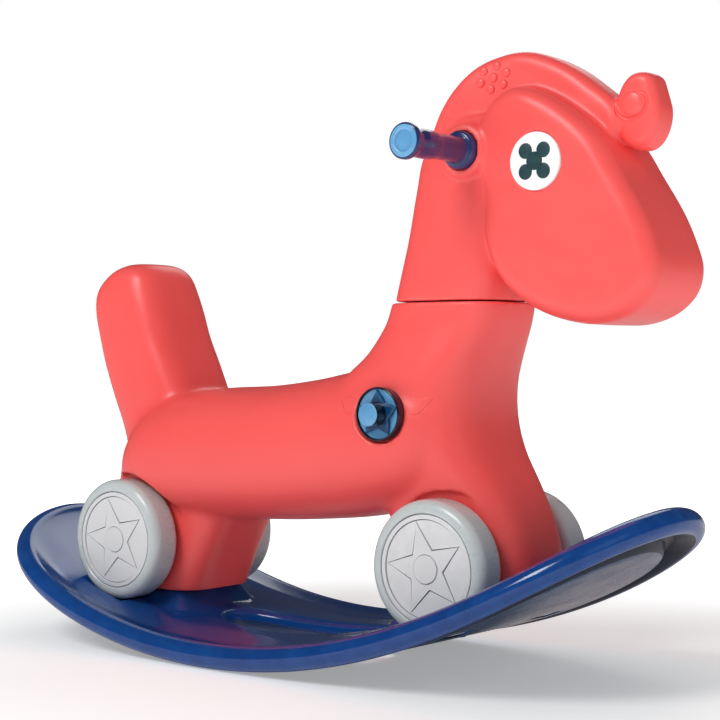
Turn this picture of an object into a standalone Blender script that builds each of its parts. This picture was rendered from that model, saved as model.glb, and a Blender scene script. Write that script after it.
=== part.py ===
"""Ride-on rocking horse: a hollow moulded horse on four wheels, standing in a curved rocker tray.

Metres, +Z up, +X is the way the horse faces, +Y is the horse's left.
The origin is on the ground under the middle of the tray.
"""
import math

import bmesh
import bpy
from mathutils import Matrix, Vector

# rocker tray
TRAY_LENGTH = 0.727
TRAY_WIDTH = 0.280
TRAY_SIDE_POWER = 7.0          # plan outline: straight sides
TRAY_END_POWER = 2.0           # and broad round ends
LOW_POINT_X = -0.037           # where the rocker touches the ground
ROCKER_RADIUS_FRONT = 0.622
ROCKER_RADIUS_REAR = 0.558
REST_FRONT = 0.0845            # the flat it comes to rest on, ahead of the low point
REST_REAR = 0.030
RIM_RADIUS = 0.0112            # rolled rim, a round bead
FOOT_HALF_WIDTH = 0.003        # flat strip under the bead
RIM_BLEND = 0.010              # from the bead's top down to the floor
FLOOR_RISE = 0.0160            # floor above the rocker arc
PANEL_RISE = 0.0015            # underside panel above the rocker arc
GROOVE_WIDTH = 0.010           # underside groove between bead and panel
GROOVE_DEPTH = 0.0090
TRAY_WALL = 0.0028
FLOOR_STEPS = max(4, math.ceil(TRAY_LENGTH / 0.2))   # points across the floor
SLOT_LENGTH = 0.180            # hand-hold slot
SLOT_WIDTH = 0.058
SLOT_CENTRE_X = -0.034
SLOT_LIP = 0.005
VENT_X = 0.290
VENT_RADIUS = 0.003
SEAT_HALF_WIDTH = 0.041        # raised seats under the legs
SEAT_WALL = 0.012              # how far a seat stays inside the sole

# wheels
WHEEL_RADIUS = 0.0575
WHEEL_WIDTH = 0.032
WHEEL_BASE = 0.371
WHEEL_MID_X = -0.0155
TRACK_INSIDE = 0.104           # between the inner faces of a pair
TYRE_RISE = 0.0405             # lowest point of the tyres, above the ground
AXLE_RISE = WHEEL_RADIUS + TYRE_RISE
AXLE_RADIUS = 0.005
HUB_RADIUS = 0.014
WEB_THICKNESS = 0.004
TYRE_SHOULDER = 0.0120         # tyre's face left around the cap
CAP_RADIUS = WHEEL_RADIUS - TYRE_SHOULDER
CAP_THICKNESS = 0.0040
CAP_SEAT = 0.0052              # depth of the cap's recess in the wheel
STAR_MARGIN = 0.0060           # from the star's tips to the cap's edge
STAR_TIP = CAP_RADIUS - STAR_MARGIN
STAR_NOTCH = 0.0172
STAR_RISE = 0.0010
CAP_HUB_RADIUS = 0.0120
WELL_CLEARANCE = 0.0015        # tray pocket around the tyre
BUSH_RADIUS = 0.0075
BUSH_FLANGE_RADIUS = 0.011
BUSH_DEPTH = 0.008
NUT_RADIUS = 0.0085
NUT_THICKNESS = 0.003
ARCH_CLEARANCE = 0.0060        # wheel arch around the tyre

# horse body
SHELL_WALL = 0.003
LEG_HALF_WIDTH = 0.0490
SOLE_RISE = 0.0485
SOLE_CLEARANCE = 0.0040        # where the sole follows the tray's floor
SEAM_RISE = 0.3210             # parting line of head and torso
BARREL_HALF_WIDTH = 0.0765
SOLE_HOLE_RADIUS = 0.0036

# neck bolt and star knobs
BOLT_X = 0.1155
BOLT_RISE = 0.225
BOLT_RADIUS = 0.004
KNOB_RADIUS = 0.0235
KNOB_THICKNESS = 0.0095
KNOB_SINK = 0.0070             # knob pocket's depth in the side
KNOB_SEAT_Y = BARREL_HALF_WIDTH - KNOB_SINK
KNOB_BOSS_RADIUS = 0.0101
KNOB_BOSS_RISE = 0.0120
SPIGOT_LENGTH = 0.126
SPIGOT_WALL = 0.003
SPIGOT_CLEARANCE = 0.0025

# head
FACE_HALF_WIDTH = 0.0500       # at the cheek
MUZZLE_HALF_WIDTH = 0.0475
FACE_ROUNDING = 0.016
MANE_ROUNDING = 0.013
CURL_ROUNDING = 0.009
CURL_X = 0.3190
CURL_RISE = 0.4745
CURL_RADIUS = 0.0270
CURL_HALF_WIDTH = 0.0186

# handlebar
BAR_X = 0.181
BAR_RISE = 0.4465
BAR_RADIUS = 0.006
BAR_BORE_RADIUS = 0.0042       # the handlebar is a steel tube
GRIP_SEAT_Y = FACE_HALF_WIDTH - 0.0020   # face of the raised ring that a grip's collar meets
GRIP_LENGTH = 0.0840
GRIP_RADIUS = 0.0108
GRIP_COLLAR_RADIUS = 0.0161
GRIP_FLANGE_RADIUS = 0.0144
GRIP_CAP_RADIUS = 0.0095
GRIP_RING_RADIUS = 0.0232

# eyes
EYE_X = 0.255
EYE_RISE = 0.432
EYE_RADIUS = 0.0240
EYE_SEAT_Y = FACE_HALF_WIDTH - 0.0045
EYE_THICKNESS = 0.0045

# tray screws
SCREW_RADIUS = 0.003
SCREW_HEAD_RADIUS = 0.006
SCREW_HEAD_HEIGHT = 0.003
SCREW_SUNK = 0.0085            # from the underside panel up to the head
SCREW_REACH = 0.012            # into the sole

GAP = 0.0003                   # between pieces that touch
RUN_CLEARANCE = 0.0003         # radial, between turning pieces

CORAL = (0.95, 0.115, 0.105)
BLUE = (0.010, 0.065, 0.290)
LIGHT_BLUE = (0.13, 0.42, 0.78)
TYRE_GREY = (0.56, 0.61, 0.62)
SILVER = (0.72, 0.73, 0.74)
WHITE = (0.9, 0.9, 0.9)
STEEL = (0.55, 0.56, 0.58)
NATURAL = (0.75, 0.75, 0.70)


def clear_scene():
    for obj in list(bpy.data.objects):
        bpy.data.objects.remove(obj, do_unlink=True)


def material(name, colour, roughness, metallic=0.0):
    made = bpy.data.materials.get(name)
    if made:
        return made
    made = bpy.data.materials.new(name)
    made.use_nodes = True
    shader = made.node_tree.nodes["Principled BSDF"]
    shader.inputs["Base Color"].default_value = (*colour, 1.0)
    shader.inputs["Roughness"].default_value = roughness
    shader.inputs["Metallic"].default_value = metallic
    return made


def make_object(name, bm, finish=None):
    bmesh.ops.recalc_face_normals(bm, faces=bm.faces[:])
    mesh = bpy.data.meshes.new(name)
    bm.to_mesh(mesh)
    bm.free()
    mesh.shade_smooth()
    mesh.set_sharp_from_angle(angle=math.radians(35))
    obj = bpy.data.objects.new(name, mesh)
    bpy.context.scene.collection.objects.link(obj)
    if finish:
        mesh.materials.append(finish)
    return obj


def combine(obj, others, operation):
    """Join or cut obj with other objects, which are used up."""
    for other in others:
        modifier = obj.modifiers.new(operation.lower(), "BOOLEAN")
        modifier.operation = operation
        modifier.solver = "EXACT"
        modifier.object = other
        graph = bpy.context.evaluated_depsgraph_get()
        result = bpy.data.meshes.new_from_object(obj.evaluated_get(graph))
        obj.modifiers.clear()
        obj.data = result
        bpy.data.objects.remove(other, do_unlink=True)
    return obj


def set_finish(obj, finish):
    obj.data.materials.clear()
    obj.data.materials.append(finish)
    obj.data.shade_smooth()
    obj.data.set_sharp_from_angle(angle=math.radians(35))
    return obj


def superellipse(angle, half_a, half_b, power, power_b=None):
    c = math.cos(angle)
    s = math.sin(angle)
    return (half_a * math.copysign(abs(c) ** (2 / power), c),
            half_b * math.copysign(abs(s) ** (2 / (power_b or power)), s))


def skin(rings, capped=True):
    """Closed skin over rings of equal point count."""
    bm = bmesh.new()
    loops = [[bm.verts.new(point) for point in ring] for ring in rings]
    count = len(loops[0])
    pairs = list(zip(loops, loops[1:]))
    if not capped:
        pairs.append((loops[-1], loops[0]))
    for lower, upper in pairs:
        for i in range(count):
            j = (i + 1) % count
            bm.faces.new((lower[i], lower[j], upper[j], upper[i]))
    if capped:
        bm.faces.new(loops[0])
        bm.faces.new(loops[-1])
    return bm


def column(stations, wall=0.0, count=24):
    """Loft along Z. A station is (z, back x, front x, half width, power)."""
    rings = []
    for z, back, front, half_width, power in stations:
        half_length = (front - back) / 2 - wall
        middle = (front + back) / 2
        ring = []
        for i in range(count):
            x, y = superellipse(2 * math.pi * (i + 0.5) / count, half_length, half_width - wall, power)
            ring.append((middle + x, y, z))
        rings.append(ring)
    return skin(rings)


def log(stations, wall=0.0, count=24):
    """Loft along X. A station is (x, bottom z, top z, half width, power)."""
    rings = []
    for x, bottom, top, half_width, power in stations:
        half_height = (top - bottom) / 2 - wall
        middle = (top + bottom) / 2
        ring = []
        for i in range(count):
            y, z = superellipse(2 * math.pi * (i + 0.5) / count, half_width - wall, half_height, power)
            ring.append((x, y, middle + z))
        rings.append(ring)
    return skin(rings)


def shorten(stations, start, end):
    """Move a loft's first and last stations inwards along its axis."""
    first = (stations[0][0] + start,) + stations[0][1:]
    last = (stations[-1][0] - end,) + stations[-1][1:]
    return [first] + stations[1:-1] + [last]


def closed_curve(points, steps):
    """Smooth closed outline (Catmull-Rom) through points in the XZ plane."""
    outline = []
    count = len(points)
    for i in range(count):
        p0, p1, p2, p3 = (Vector(points[(i + k - 1) % count]) for k in range(4))
        for step in range(steps):
            t = step / steps
            outline.append(0.5 * (2 * p1 + (p2 - p0) * t + (2 * p0 - 5 * p1 + 4 * p2 - p3) * t * t
                                  + (3 * p1 - p0 - 3 * p2 + p3) * t ** 3))
    return outline


def inset_outline(outline, distance):
    """Move each point of a closed XZ outline inwards, along its own normal."""
    area = sum(a.x * b.y - b.x * a.y for a, b in zip(outline, outline[1:] + outline[:1]))
    side = math.copysign(1.0, area)
    moved = []
    for i, point in enumerate(outline):
        along = (outline[(i + 1) % len(outline)] - outline[i - 1]).normalized()
        moved.append(point + side * distance * Vector((-along.y, along.x)))
    return moved


def pillow(points, width_at, rounding, wall=0.0, steps=2, corner_steps=2):
    """Thick plate with rounded edges, from an XZ outline and a half width that changes along x."""
    outline = closed_curve(points, steps)
    rings = []
    for i in range(2 * corner_steps + 1):
        angle = -math.pi / 2 + math.pi * i / (2 * corner_steps)
        ring = []
        for point in inset_outline(outline, wall + rounding * (1 - math.cos(angle))):
            side_y = width_at(point.x) - wall - rounding
            y = math.copysign(side_y, angle) + rounding * math.sin(angle) if i != corner_steps else 0.0
            ring.append((point.x, y, point.y))
        rings.append(ring)
    return skin(rings)


def tube_y(radius, y_start, y_end, x=0.0, z=0.0, count=24):
    """Solid round bar along Y."""
    bm = bmesh.new()
    bmesh.ops.create_cone(bm, cap_ends=True, segments=count, radius1=radius, radius2=radius,
                          depth=abs(y_end - y_start))
    bmesh.ops.transform(bm, matrix=Matrix.Translation((x, (y_start + y_end) / 2, z))
                        @ Matrix.Rotation(math.pi / 2, 4, "X"), verts=bm.verts)
    return bm


def post(radius, z_start, z_end, x=0.0, y=0.0, count=16):
    """Solid round bar along Z."""
    bm = bmesh.new()
    bmesh.ops.create_cone(bm, cap_ends=True, segments=count, radius1=radius, radius2=radius,
                          depth=z_end - z_start)
    bmesh.ops.translate(bm, verts=bm.verts, vec=(x, y, (z_start + z_end) / 2))
    return bm


def turned(profile, count, closed):
    """Solid of revolution about Y. The profile is (radius, y); closed for a ring with a bore."""
    rings = []
    for radius, y in profile:
        ring = []
        for i in range(count):
            angle = 2 * math.pi * i / count
            ring.append((radius * math.cos(angle), y, radius * math.sin(angle)))
        rings.append(ring)
    return skin(rings, capped=not closed)


def mirrored(bm, side):
    """Turn a piece made for the left (+Y) side to the side asked for."""
    bmesh.ops.scale(bm, verts=bm.verts, vec=(1, side, 1))
    return bm


# ---------------------------------------------------------------- shared sizes

def wheel_x(end):
    """Axle place: end is +1 for the front and -1 for the rear."""
    return WHEEL_MID_X + end * WHEEL_BASE / 2


def arc_sag(radius, x):
    return radius - math.sqrt(radius ** 2 - x ** 2)


def rocker_arc(x):
    """Height of the rim's lowest line: two arcs with a short flat between them."""
    ahead = x - LOW_POINT_X
    if ahead > 0:
        return max(0.0, arc_sag(ROCKER_RADIUS_FRONT, ahead) - arc_sag(ROCKER_RADIUS_FRONT, REST_FRONT))
    return max(0.0, arc_sag(ROCKER_RADIUS_REAR, ahead) - arc_sag(ROCKER_RADIUS_REAR, REST_REAR))


def floor_z(x):
    return rocker_arc(x) + FLOOR_RISE


LEG_BACK_REAR = wheel_x(-1) - 0.050
LEG_BACK_FRONT = wheel_x(-1) + 0.065
LEG_FRONT_REAR = wheel_x(1) - 0.067
LEG_FRONT_FRONT = wheel_x(1) + 0.066

BARREL = [
    (-0.2450, 0.1360, 0.1660, 0.0150, 2.4),
    (-0.2395, 0.1290, 0.1780, 0.0300, 2.6),
    (-0.2280, 0.1240, 0.1910, 0.0475, 2.6),
    (-0.2090, 0.1210, 0.2110, 0.0650, 2.6),
    (-0.1800, 0.1200, 0.2330, 0.0740, 2.6),
    (-0.1290, 0.1196, 0.2434, BARREL_HALF_WIDTH, 2.6),
    (-0.0573, 0.1205, 0.2470, BARREL_HALF_WIDTH, 2.6),
    (0.0034, 0.1242, 0.2539, BARREL_HALF_WIDTH + 0.001, 2.6),
    (0.0636, 0.1307, 0.2641, BARREL_HALF_WIDTH + 0.0015, 2.6),
    (0.1132, 0.1428, 0.2642, BARREL_HALF_WIDTH + 0.001, 2.7),
    (0.1500, 0.1580, 0.2590, 0.0690, 2.7),
    (0.1720, 0.1750, 0.2500, 0.0500, 2.6),
]

NECK_POWER = 3.4
CHEST = [
    (SOLE_RISE - 0.016, LEG_FRONT_REAR, LEG_FRONT_FRONT - 0.003, LEG_HALF_WIDTH, 4.0),
    (0.0897, LEG_FRONT_REAR, LEG_FRONT_FRONT, LEG_HALF_WIDTH, 4.0),
    (0.1184, LEG_FRONT_REAR - 0.005, LEG_FRONT_FRONT - 0.004, LEG_HALF_WIDTH, 4.0),
    (0.1423, LEG_FRONT_REAR - 0.015, LEG_FRONT_FRONT - 0.013, 0.0515, 3.8),
    (0.1662, LEG_FRONT_REAR - 0.033, 0.2095, 0.0570, 3.6),
    (0.1901, 0.0506, 0.1940, 0.0645, 3.4),
    (0.2141, 0.0345, 0.1859, 0.0688, 3.2),
    (0.2381, 0.0305, 0.1849, 0.0678, 3.1),
    (0.2574, 0.0475, 0.1875, 0.0645, 3.1),
    (0.2738, 0.0680, 0.1925, 0.0597, 3.2),
    (0.2930, 0.0820, 0.2003, 0.0540, 3.3),
    (0.3084, 0.0900, 0.2055, 0.0511, NECK_POWER),
    (SEAM_RISE - GAP / 2 - 0.002, 0.0955, 0.2085, 0.0500, NECK_POWER),
    (SEAM_RISE - GAP / 2, 0.0980, 0.2062, 0.0478, NECK_POWER),
]

HIND_LEG = [
    (SOLE_RISE - 0.016, LEG_BACK_REAR + 0.011, LEG_BACK_FRONT - 0.007, LEG_HALF_WIDTH, 4.2),
    (0.0744, LEG_BACK_REAR + 0.005, LEG_BACK_FRONT + 0.0135, LEG_HALF_WIDTH, 4.2),
    (0.1041, LEG_BACK_REAR, LEG_BACK_FRONT + 0.0295, LEG_HALF_WIDTH, 4.2),
    (0.1338, LEG_BACK_REAR, LEG_BACK_FRONT + 0.045, 0.0510, 4.0),
    (0.1733, LEG_BACK_REAR + 0.007, LEG_BACK_FRONT + 0.058, 0.0560, 3.4),
]

TAIL = [
    (0.1680, -0.2390, -0.1450, 0.0430, 3.0),
    (0.2030, -0.2454, -0.1460, 0.0465, 3.2),
    (0.2340, -0.2583, -0.1520, 0.0475, 3.4),
    (0.2640, -0.2688, -0.1665, 0.0480, 3.6),
    (0.2940, -0.2773, -0.1819, 0.0480, 3.6),
    (0.3190, -0.2835, -0.1905, 0.0475, 3.6),
    (0.3390, -0.2830, -0.1980, 0.0460, 3.4),
    (0.3540, -0.2718, -0.2030, 0.0420, 3.0),
    (0.3630, -0.2590, -0.2108, 0.0355, 2.6),
    (0.3675, -0.2460, -0.2203, 0.0240, 2.2),
]


# ---------------------------------------------------------------- rocker tray

def even_outline(half_a, half_b, count):
    """Plan outline with evenly spread points, the first just past +X, and the inward direction at each."""
    steps = 2000
    fine = [Vector(superellipse(2 * math.pi * i / steps, half_a, half_b, TRAY_SIDE_POWER, TRAY_END_POWER))
            for i in range(steps + 1)]
    lengths = [0.0]
    for before, after in zip(fine, fine[1:]):
        lengths.append(lengths[-1] + (after - before).length)
    outline = []
    place = 0
    for index in range(count):
        target = lengths[-1] * (index + 0.5) / count
        while lengths[place + 1] < target:
            place += 1
        share = (target - lengths[place]) / (lengths[place + 1] - lengths[place])
        along = (fine[place + 1] - fine[place]).normalized()
        outline.append((fine[place].lerp(fine[place + 1], share), Vector((-along.y, along.x))))
    return outline


def tray_rings(profile_at, count):
    """Rings of the tray, one for each profile point, from stations around its outline."""
    columns = []
    straight = 2 * RIM_RADIUS + RIM_BLEND
    for index, (outer, inward) in enumerate(even_outline(TRAY_LENGTH / 2, TRAY_WIDTH / 2, count)):
        angle = 2 * math.pi * (index + 0.5) / count
        slot = Vector(superellipse(angle, SLOT_LENGTH / 2, SLOT_WIDTH / 2, 2.6))
        slot.x += SLOT_CENTRE_X
        bend = outer + inward * straight
        across = slot - bend
        reach = straight + across.length
        points = []
        for from_edge, rise in profile_at(reach):
            if from_edge < straight:
                place = outer + inward * from_edge
            else:
                place = bend + across * ((from_edge - straight) / across.length)
            points.append((place.x, place.y, rocker_arc(place.x) + rise))
        columns.append(points)
    return [list(ring) for ring in zip(*columns)]


def spread(start, end, count):
    return [start + (end - start) * i / (count - 1) for i in range(count)]


def tray_outer_profile(reach):
    """Closed section of the tray's skin: (distance in from the outer edge, rise)."""
    top = 2 * RIM_RADIUS
    foot = [(RIM_RADIUS + FOOT_HALF_WIDTH, 0.0), (RIM_RADIUS - FOOT_HALF_WIDTH, 0.0)]
    rim = [(RIM_RADIUS - RIM_RADIUS * math.cos(a), RIM_RADIUS + RIM_RADIUS * math.sin(a))
           for a in (math.radians(d) for d in (-45, 0, 45, 90))]
    blend = [(top - 0.004, FLOOR_RISE + 0.62 * (top - FLOOR_RISE))]
    floor = [(d, FLOOR_RISE) for d in spread(top + RIM_BLEND, reach - 2.4 * SLOT_LIP, FLOOR_STEPS)]
    edge = [(reach - SLOT_LIP, FLOOR_RISE - 0.0008), (reach, FLOOR_RISE - SLOT_LIP),
            (reach, PANEL_RISE + SLOT_LIP)]
    panel = [(d, PANEL_RISE) for d in spread(reach - SLOT_LIP, top + GROOVE_WIDTH, FLOOR_STEPS)]
    channel = [(top + GROOVE_WIDTH - 0.004, PANEL_RISE + GROOVE_DEPTH - 0.003),
               (top - 0.002, RIM_RADIUS * 0.75)]
    return foot + rim + blend + floor + edge + panel + channel


def tray_cavity_profile(reach):
    """Section of the hollow between floor and panel."""
    start = 2 * RIM_RADIUS + GROOVE_WIDTH + TRAY_WALL
    end = reach - SLOT_LIP - TRAY_WALL
    top = [(d, FLOOR_RISE - TRAY_WALL) for d in spread(start, end, FLOOR_STEPS)]
    bottom = [(d, PANEL_RISE + TRAY_WALL) for d in spread(end, start, FLOOR_STEPS)]
    return top + bottom


def seat_span(end):
    """Start and end of a raised seat along x, nearest the middle first."""
    if end > 0:
        inner = LEG_FRONT_REAR + SEAT_WALL
    else:
        inner = -(LEG_BACK_FRONT - 0.007 - SEAT_WALL)
    outer = inner
    while floor_z(end * outer) < SOLE_RISE - 0.004 and outer < inner + 0.09:
        outer += 0.001
    return inner, outer


def make_seat(end):
    """Raised seat that carries a leg block's sole."""
    inner, outer = seat_span(end)
    top = SOLE_RISE - GAP
    rings = []
    for level, grow in ((0, 0.004), (1, 0.001), (2, 0.0)):
        ring = []
        for i in range(20):
            x, y = superellipse(2 * math.pi * (i + 0.5) / 20, (outer - inner) / 2 + grow,
                                SEAT_HALF_WIDTH + grow, 5.0)
            x = end * ((inner + outer) / 2 + x)
            ring.append((x, y, (floor_z(x) - TRAY_WALL / 2, top - 0.0015, top)[level]))
        rings.append(ring)
    return skin(rings)


def screw_x(end):
    inner, outer = seat_span(end)
    return end * (inner + outer) / 2


def well_cut(end, side, wall):
    """Pocket in the tray's floor that a wheel's tyre sits in."""
    inner = TRACK_INSIDE / 2 - WELL_CLEARANCE - wall
    outer = TRACK_INSIDE / 2 + WHEEL_WIDTH + WELL_CLEARANCE + wall
    return make_object("well", tube_y(WHEEL_RADIUS + WELL_CLEARANCE + wall, side * inner, side * outer,
                                      wheel_x(end), AXLE_RISE, 32))


def make_tray():
    count = 38
    blue = material("rocker_blue", BLUE, 0.22)
    tray = make_object("rocker_board", skin(tray_rings(tray_outer_profile, count), capped=False))
    cavity = make_object("tray_cavity", skin(tray_rings(tray_cavity_profile, count), capped=False))
    bosses = []
    cuts = []
    for end in (-1, 1):
        x = screw_x(end)
        bosses.append(make_object("boss", post(SCREW_HEAD_RADIUS + 0.003, -0.02, 0.06, x)))
        bosses += [well_cut(end, side, TRAY_WALL) for side in (-1, 1)]
        cuts += [well_cut(end, side, 0.0) for side in (-1, 1)]
        cuts.append(make_object("hole", post(SCREW_RADIUS + GAP, -0.02, 0.06, x)))
        head_top = rocker_arc(x) + PANEL_RISE + SCREW_HEAD_HEIGHT + SCREW_SUNK
        cuts.append(make_object("pocket", post(SCREW_HEAD_RADIUS + GAP, -0.02, head_top, x)))
        vent_top = rocker_arc(end * VENT_X) + PANEL_RISE + 2 * TRAY_WALL
        cuts.append(make_object("vent", post(VENT_RADIUS, -0.02, vent_top, end * VENT_X, 0.0, 10)))
    combine(cavity, bosses, "DIFFERENCE")
    combine(tray, [make_object("seat", make_seat(end)) for end in (-1, 1)], "UNION")
    combine(tray, [cavity] + cuts, "DIFFERENCE")
    set_finish(tray, blue)


def make_screws():
    """Screws from under the tray into the soles."""
    steel = material("steel", STEEL, 0.35, 1.0)
    for end, name in ((-1, "tray_screw_rear"), (1, "tray_screw_front")):
        x = screw_x(end)
        head_top = rocker_arc(x) + PANEL_RISE + SCREW_HEAD_HEIGHT + SCREW_SUNK - GAP
        rings = []
        tip = SOLE_RISE + SCREW_REACH
        for radius, z in ((SCREW_HEAD_RADIUS - 0.001, head_top - SCREW_HEAD_HEIGHT),
                          (SCREW_HEAD_RADIUS, head_top - SCREW_HEAD_HEIGHT + 0.001),
                          (SCREW_HEAD_RADIUS, head_top), (SCREW_RADIUS, head_top),
                          (SCREW_RADIUS, tip - 0.003), (SCREW_RADIUS * 0.4, tip)):
            rings.append([(radius * math.cos(2 * math.pi * i / 14), radius * math.sin(2 * math.pi * i / 14), z)
                          for i in range(14)])
        obj = make_object(name, skin(rings), steel)
        obj.location.x = x


# ---------------------------------------------------------------- wheels

def wheel_profile():
    """Closed section (radius, y) from the inner face at y = 0 to the outer face."""
    r = WHEEL_RADIUS
    w = WHEEL_WIDTH
    bore = AXLE_RADIUS + RUN_CLEARANCE
    web = w / 2 - 0.001
    seat = w - CAP_SEAT
    return [(bore, 0.0), (HUB_RADIUS, 0.0), (HUB_RADIUS + 0.001, web),
            (r - 0.014, web), (r - 0.0125, 0.0), (r - 0.007, 0.0), (r - 0.0025, 0.0030),
            (r, 0.0100), (r, w - 0.0100), (r - 0.0025, w - 0.0030), (r - 0.007, w),
            (CAP_RADIUS + GAP, w), (CAP_RADIUS + GAP, seat), (CAP_RADIUS - 0.003, seat),
            (CAP_RADIUS - 0.004, web + WEB_THICKNESS), (bore, web + WEB_THICKNESS)]


def star_prism(tip, notch, y_start, y_end, slope):
    """Five-pointed prism along Y that narrows by slope towards its end."""
    rings = []
    for y, shrink in ((y_start, 0.0), (y_end, slope)):
        ring = []
        for i in range(10):
            radius = (tip if i % 2 == 0 else notch) - shrink
            angle = math.pi / 2 + math.pi * i / 5
            ring.append((radius * math.cos(angle), y, radius * math.sin(angle)))
        rings.append(ring)
    return skin(rings)


def cap_body():
    """Hub cap: disc with a rim ring, a raised star and a round centre."""
    back = WHEEL_WIDTH - CAP_SEAT + GAP
    face = back + CAP_THICKNESS - 0.0012
    disc = make_object("cap_disc", turned([
        (CAP_RADIUS, back), (CAP_RADIUS, face + 0.0012),
        (CAP_RADIUS - 0.0030, face + 0.0012), (CAP_RADIUS - 0.0038, face)], 24, False))
    star = make_object("cap_star", star_prism(STAR_TIP, STAR_NOTCH, back + 0.001, face + STAR_RISE, 0.0008))
    hub = make_object("cap_hub", turned([
        (CAP_HUB_RADIUS, back + 0.001), (CAP_HUB_RADIUS, face + STAR_RISE + 0.0002),
        (CAP_HUB_RADIUS - 0.0008, face + STAR_RISE + 0.0009)], 16, False))
    return combine(disc, [star, hub], "UNION")


def axle_piece(name, mesh, end, side, finish):
    """Place a piece made at y = 0 (wheel's inner face) and facing +Y on its axle."""
    bm = bmesh.new()
    bm.from_mesh(mesh)
    bmesh.ops.translate(bm, verts=bm.verts, vec=(0, TRACK_INSIDE / 2, 0))
    obj = make_object(name, mirrored(bm, side), finish)
    obj.location = (wheel_x(end), 0, AXLE_RISE)
    return obj


def make_wheels():
    grey = material("tyre_grey", TYRE_GREY, 0.45)
    silver = material("cap_silver", SILVER, 0.35, 0.2)
    steel = material("steel", STEEL, 0.35, 1.0)
    natural = material("bush_natural", NATURAL, 0.5)
    wheel = make_object("wheel_pattern", turned(wheel_profile(), 24, True))
    cap = cap_body()
    hub_end = WHEEL_WIDTH / 2 - 0.001 + WEB_THICKNESS
    nut = make_object("nut_pattern", turned([
        (AXLE_RADIUS + GAP, hub_end + GAP), (NUT_RADIUS, hub_end + GAP),
        (NUT_RADIUS, hub_end + GAP + 0.001), (NUT_RADIUS - 0.003, hub_end + GAP + NUT_THICKNESS),
        (AXLE_RADIUS + GAP, hub_end + GAP + NUT_THICKNESS)], 12, True))
    inset = TRACK_INSIDE / 2 - LEG_HALF_WIDTH
    bore = AXLE_RADIUS + RUN_CLEARANCE
    bush = make_object("bush_pattern", turned([
        (bore, -inset - BUSH_DEPTH), (BUSH_RADIUS, -inset - BUSH_DEPTH), (BUSH_RADIUS, -inset + GAP),
        (BUSH_FLANGE_RADIUS, -inset + GAP), (BUSH_FLANGE_RADIUS, -GAP), (bore, -GAP)], 12, True))
    for end, end_name in ((-1, "rear"), (1, "front")):
        for side, side_name in ((-1, "right"), (1, "left")):
            tag = end_name + "_" + side_name
            axle_piece("wheel_" + tag, wheel.data, end, side, grey)
            axle_piece("hub_cap_" + tag, cap.data, end, side, silver)
            axle_piece("axle_nut_" + tag, nut.data, end, side, steel)
            axle_piece("axle_bush_" + tag, bush.data, end, side, natural)
        half = TRACK_INSIDE / 2 + hub_end + GAP + NUT_THICKNESS + 0.001
        axle = make_object("axle_" + end_name, turned([
            (AXLE_RADIUS - 0.001, -half), (AXLE_RADIUS, -half + 0.001), (AXLE_RADIUS, half - 0.001),
            (AXLE_RADIUS - 0.001, half)], 16, False), steel)
        axle.location = (wheel_x(end), 0, AXLE_RISE)
    for pattern in (wheel, cap, nut, bush):
        bpy.data.objects.remove(pattern, do_unlink=True)


# ---------------------------------------------------------------- torso

def under_sole(clearance):
    """Everything below the soles: a flat at the sole height, and the tray's floor past it."""
    xs = [TRAY_LENGTH / 2 * (i / 24 - 1) for i in range(49)]
    top = [(x, max(SOLE_RISE, floor_z(x) + SOLE_CLEARANCE) + clearance) for x in xs]
    ends = [(xs[-1], -0.1), (xs[0], -0.1)]
    return skin([[(x, y, z) for x, z in top + ends] for y in (-0.2, 0.2)])


def body_union(name, wall, count):
    """The torso's outer shape, or its hollow when a wall is given."""
    barrel = BARREL
    chest = CHEST
    leg = HIND_LEG
    tail = TAIL
    if wall:
        barrel = shorten(BARREL, wall + 0.006, wall + 0.004)[::2] + [shorten(BARREL, 0, wall + 0.004)[-1]]
        barrel = barrel[:-1]
        chest = CHEST[:-1:2] + [(SEAM_RISE + 0.01,) + CHEST[-2][1:]]
        leg = shorten(HIND_LEG, 0, 0)[::2]
        tail = [TAIL[0], TAIL[2], TAIL[4], TAIL[6], (TAIL[8][0] - wall,) + TAIL[8][1:]]
    body = make_object(name, log(barrel, wall, count))
    parts = [make_object("chest", column(chest, wall, count)),
             make_object("leg", column(leg, wall, count)),
             make_object("tail", column(tail, wall, count))]
    return combine(body, parts, "UNION")


def arch_cut(end, side, wall):
    """Wheel arch: a round recess outside the leg block."""
    radius = WHEEL_RADIUS + ARCH_CLEARANCE + wall
    inner = LEG_HALF_WIDTH - wall
    return make_object("arch", tube_y(radius, side * inner, side * 0.15, wheel_x(end), AXLE_RISE, 22))


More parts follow.
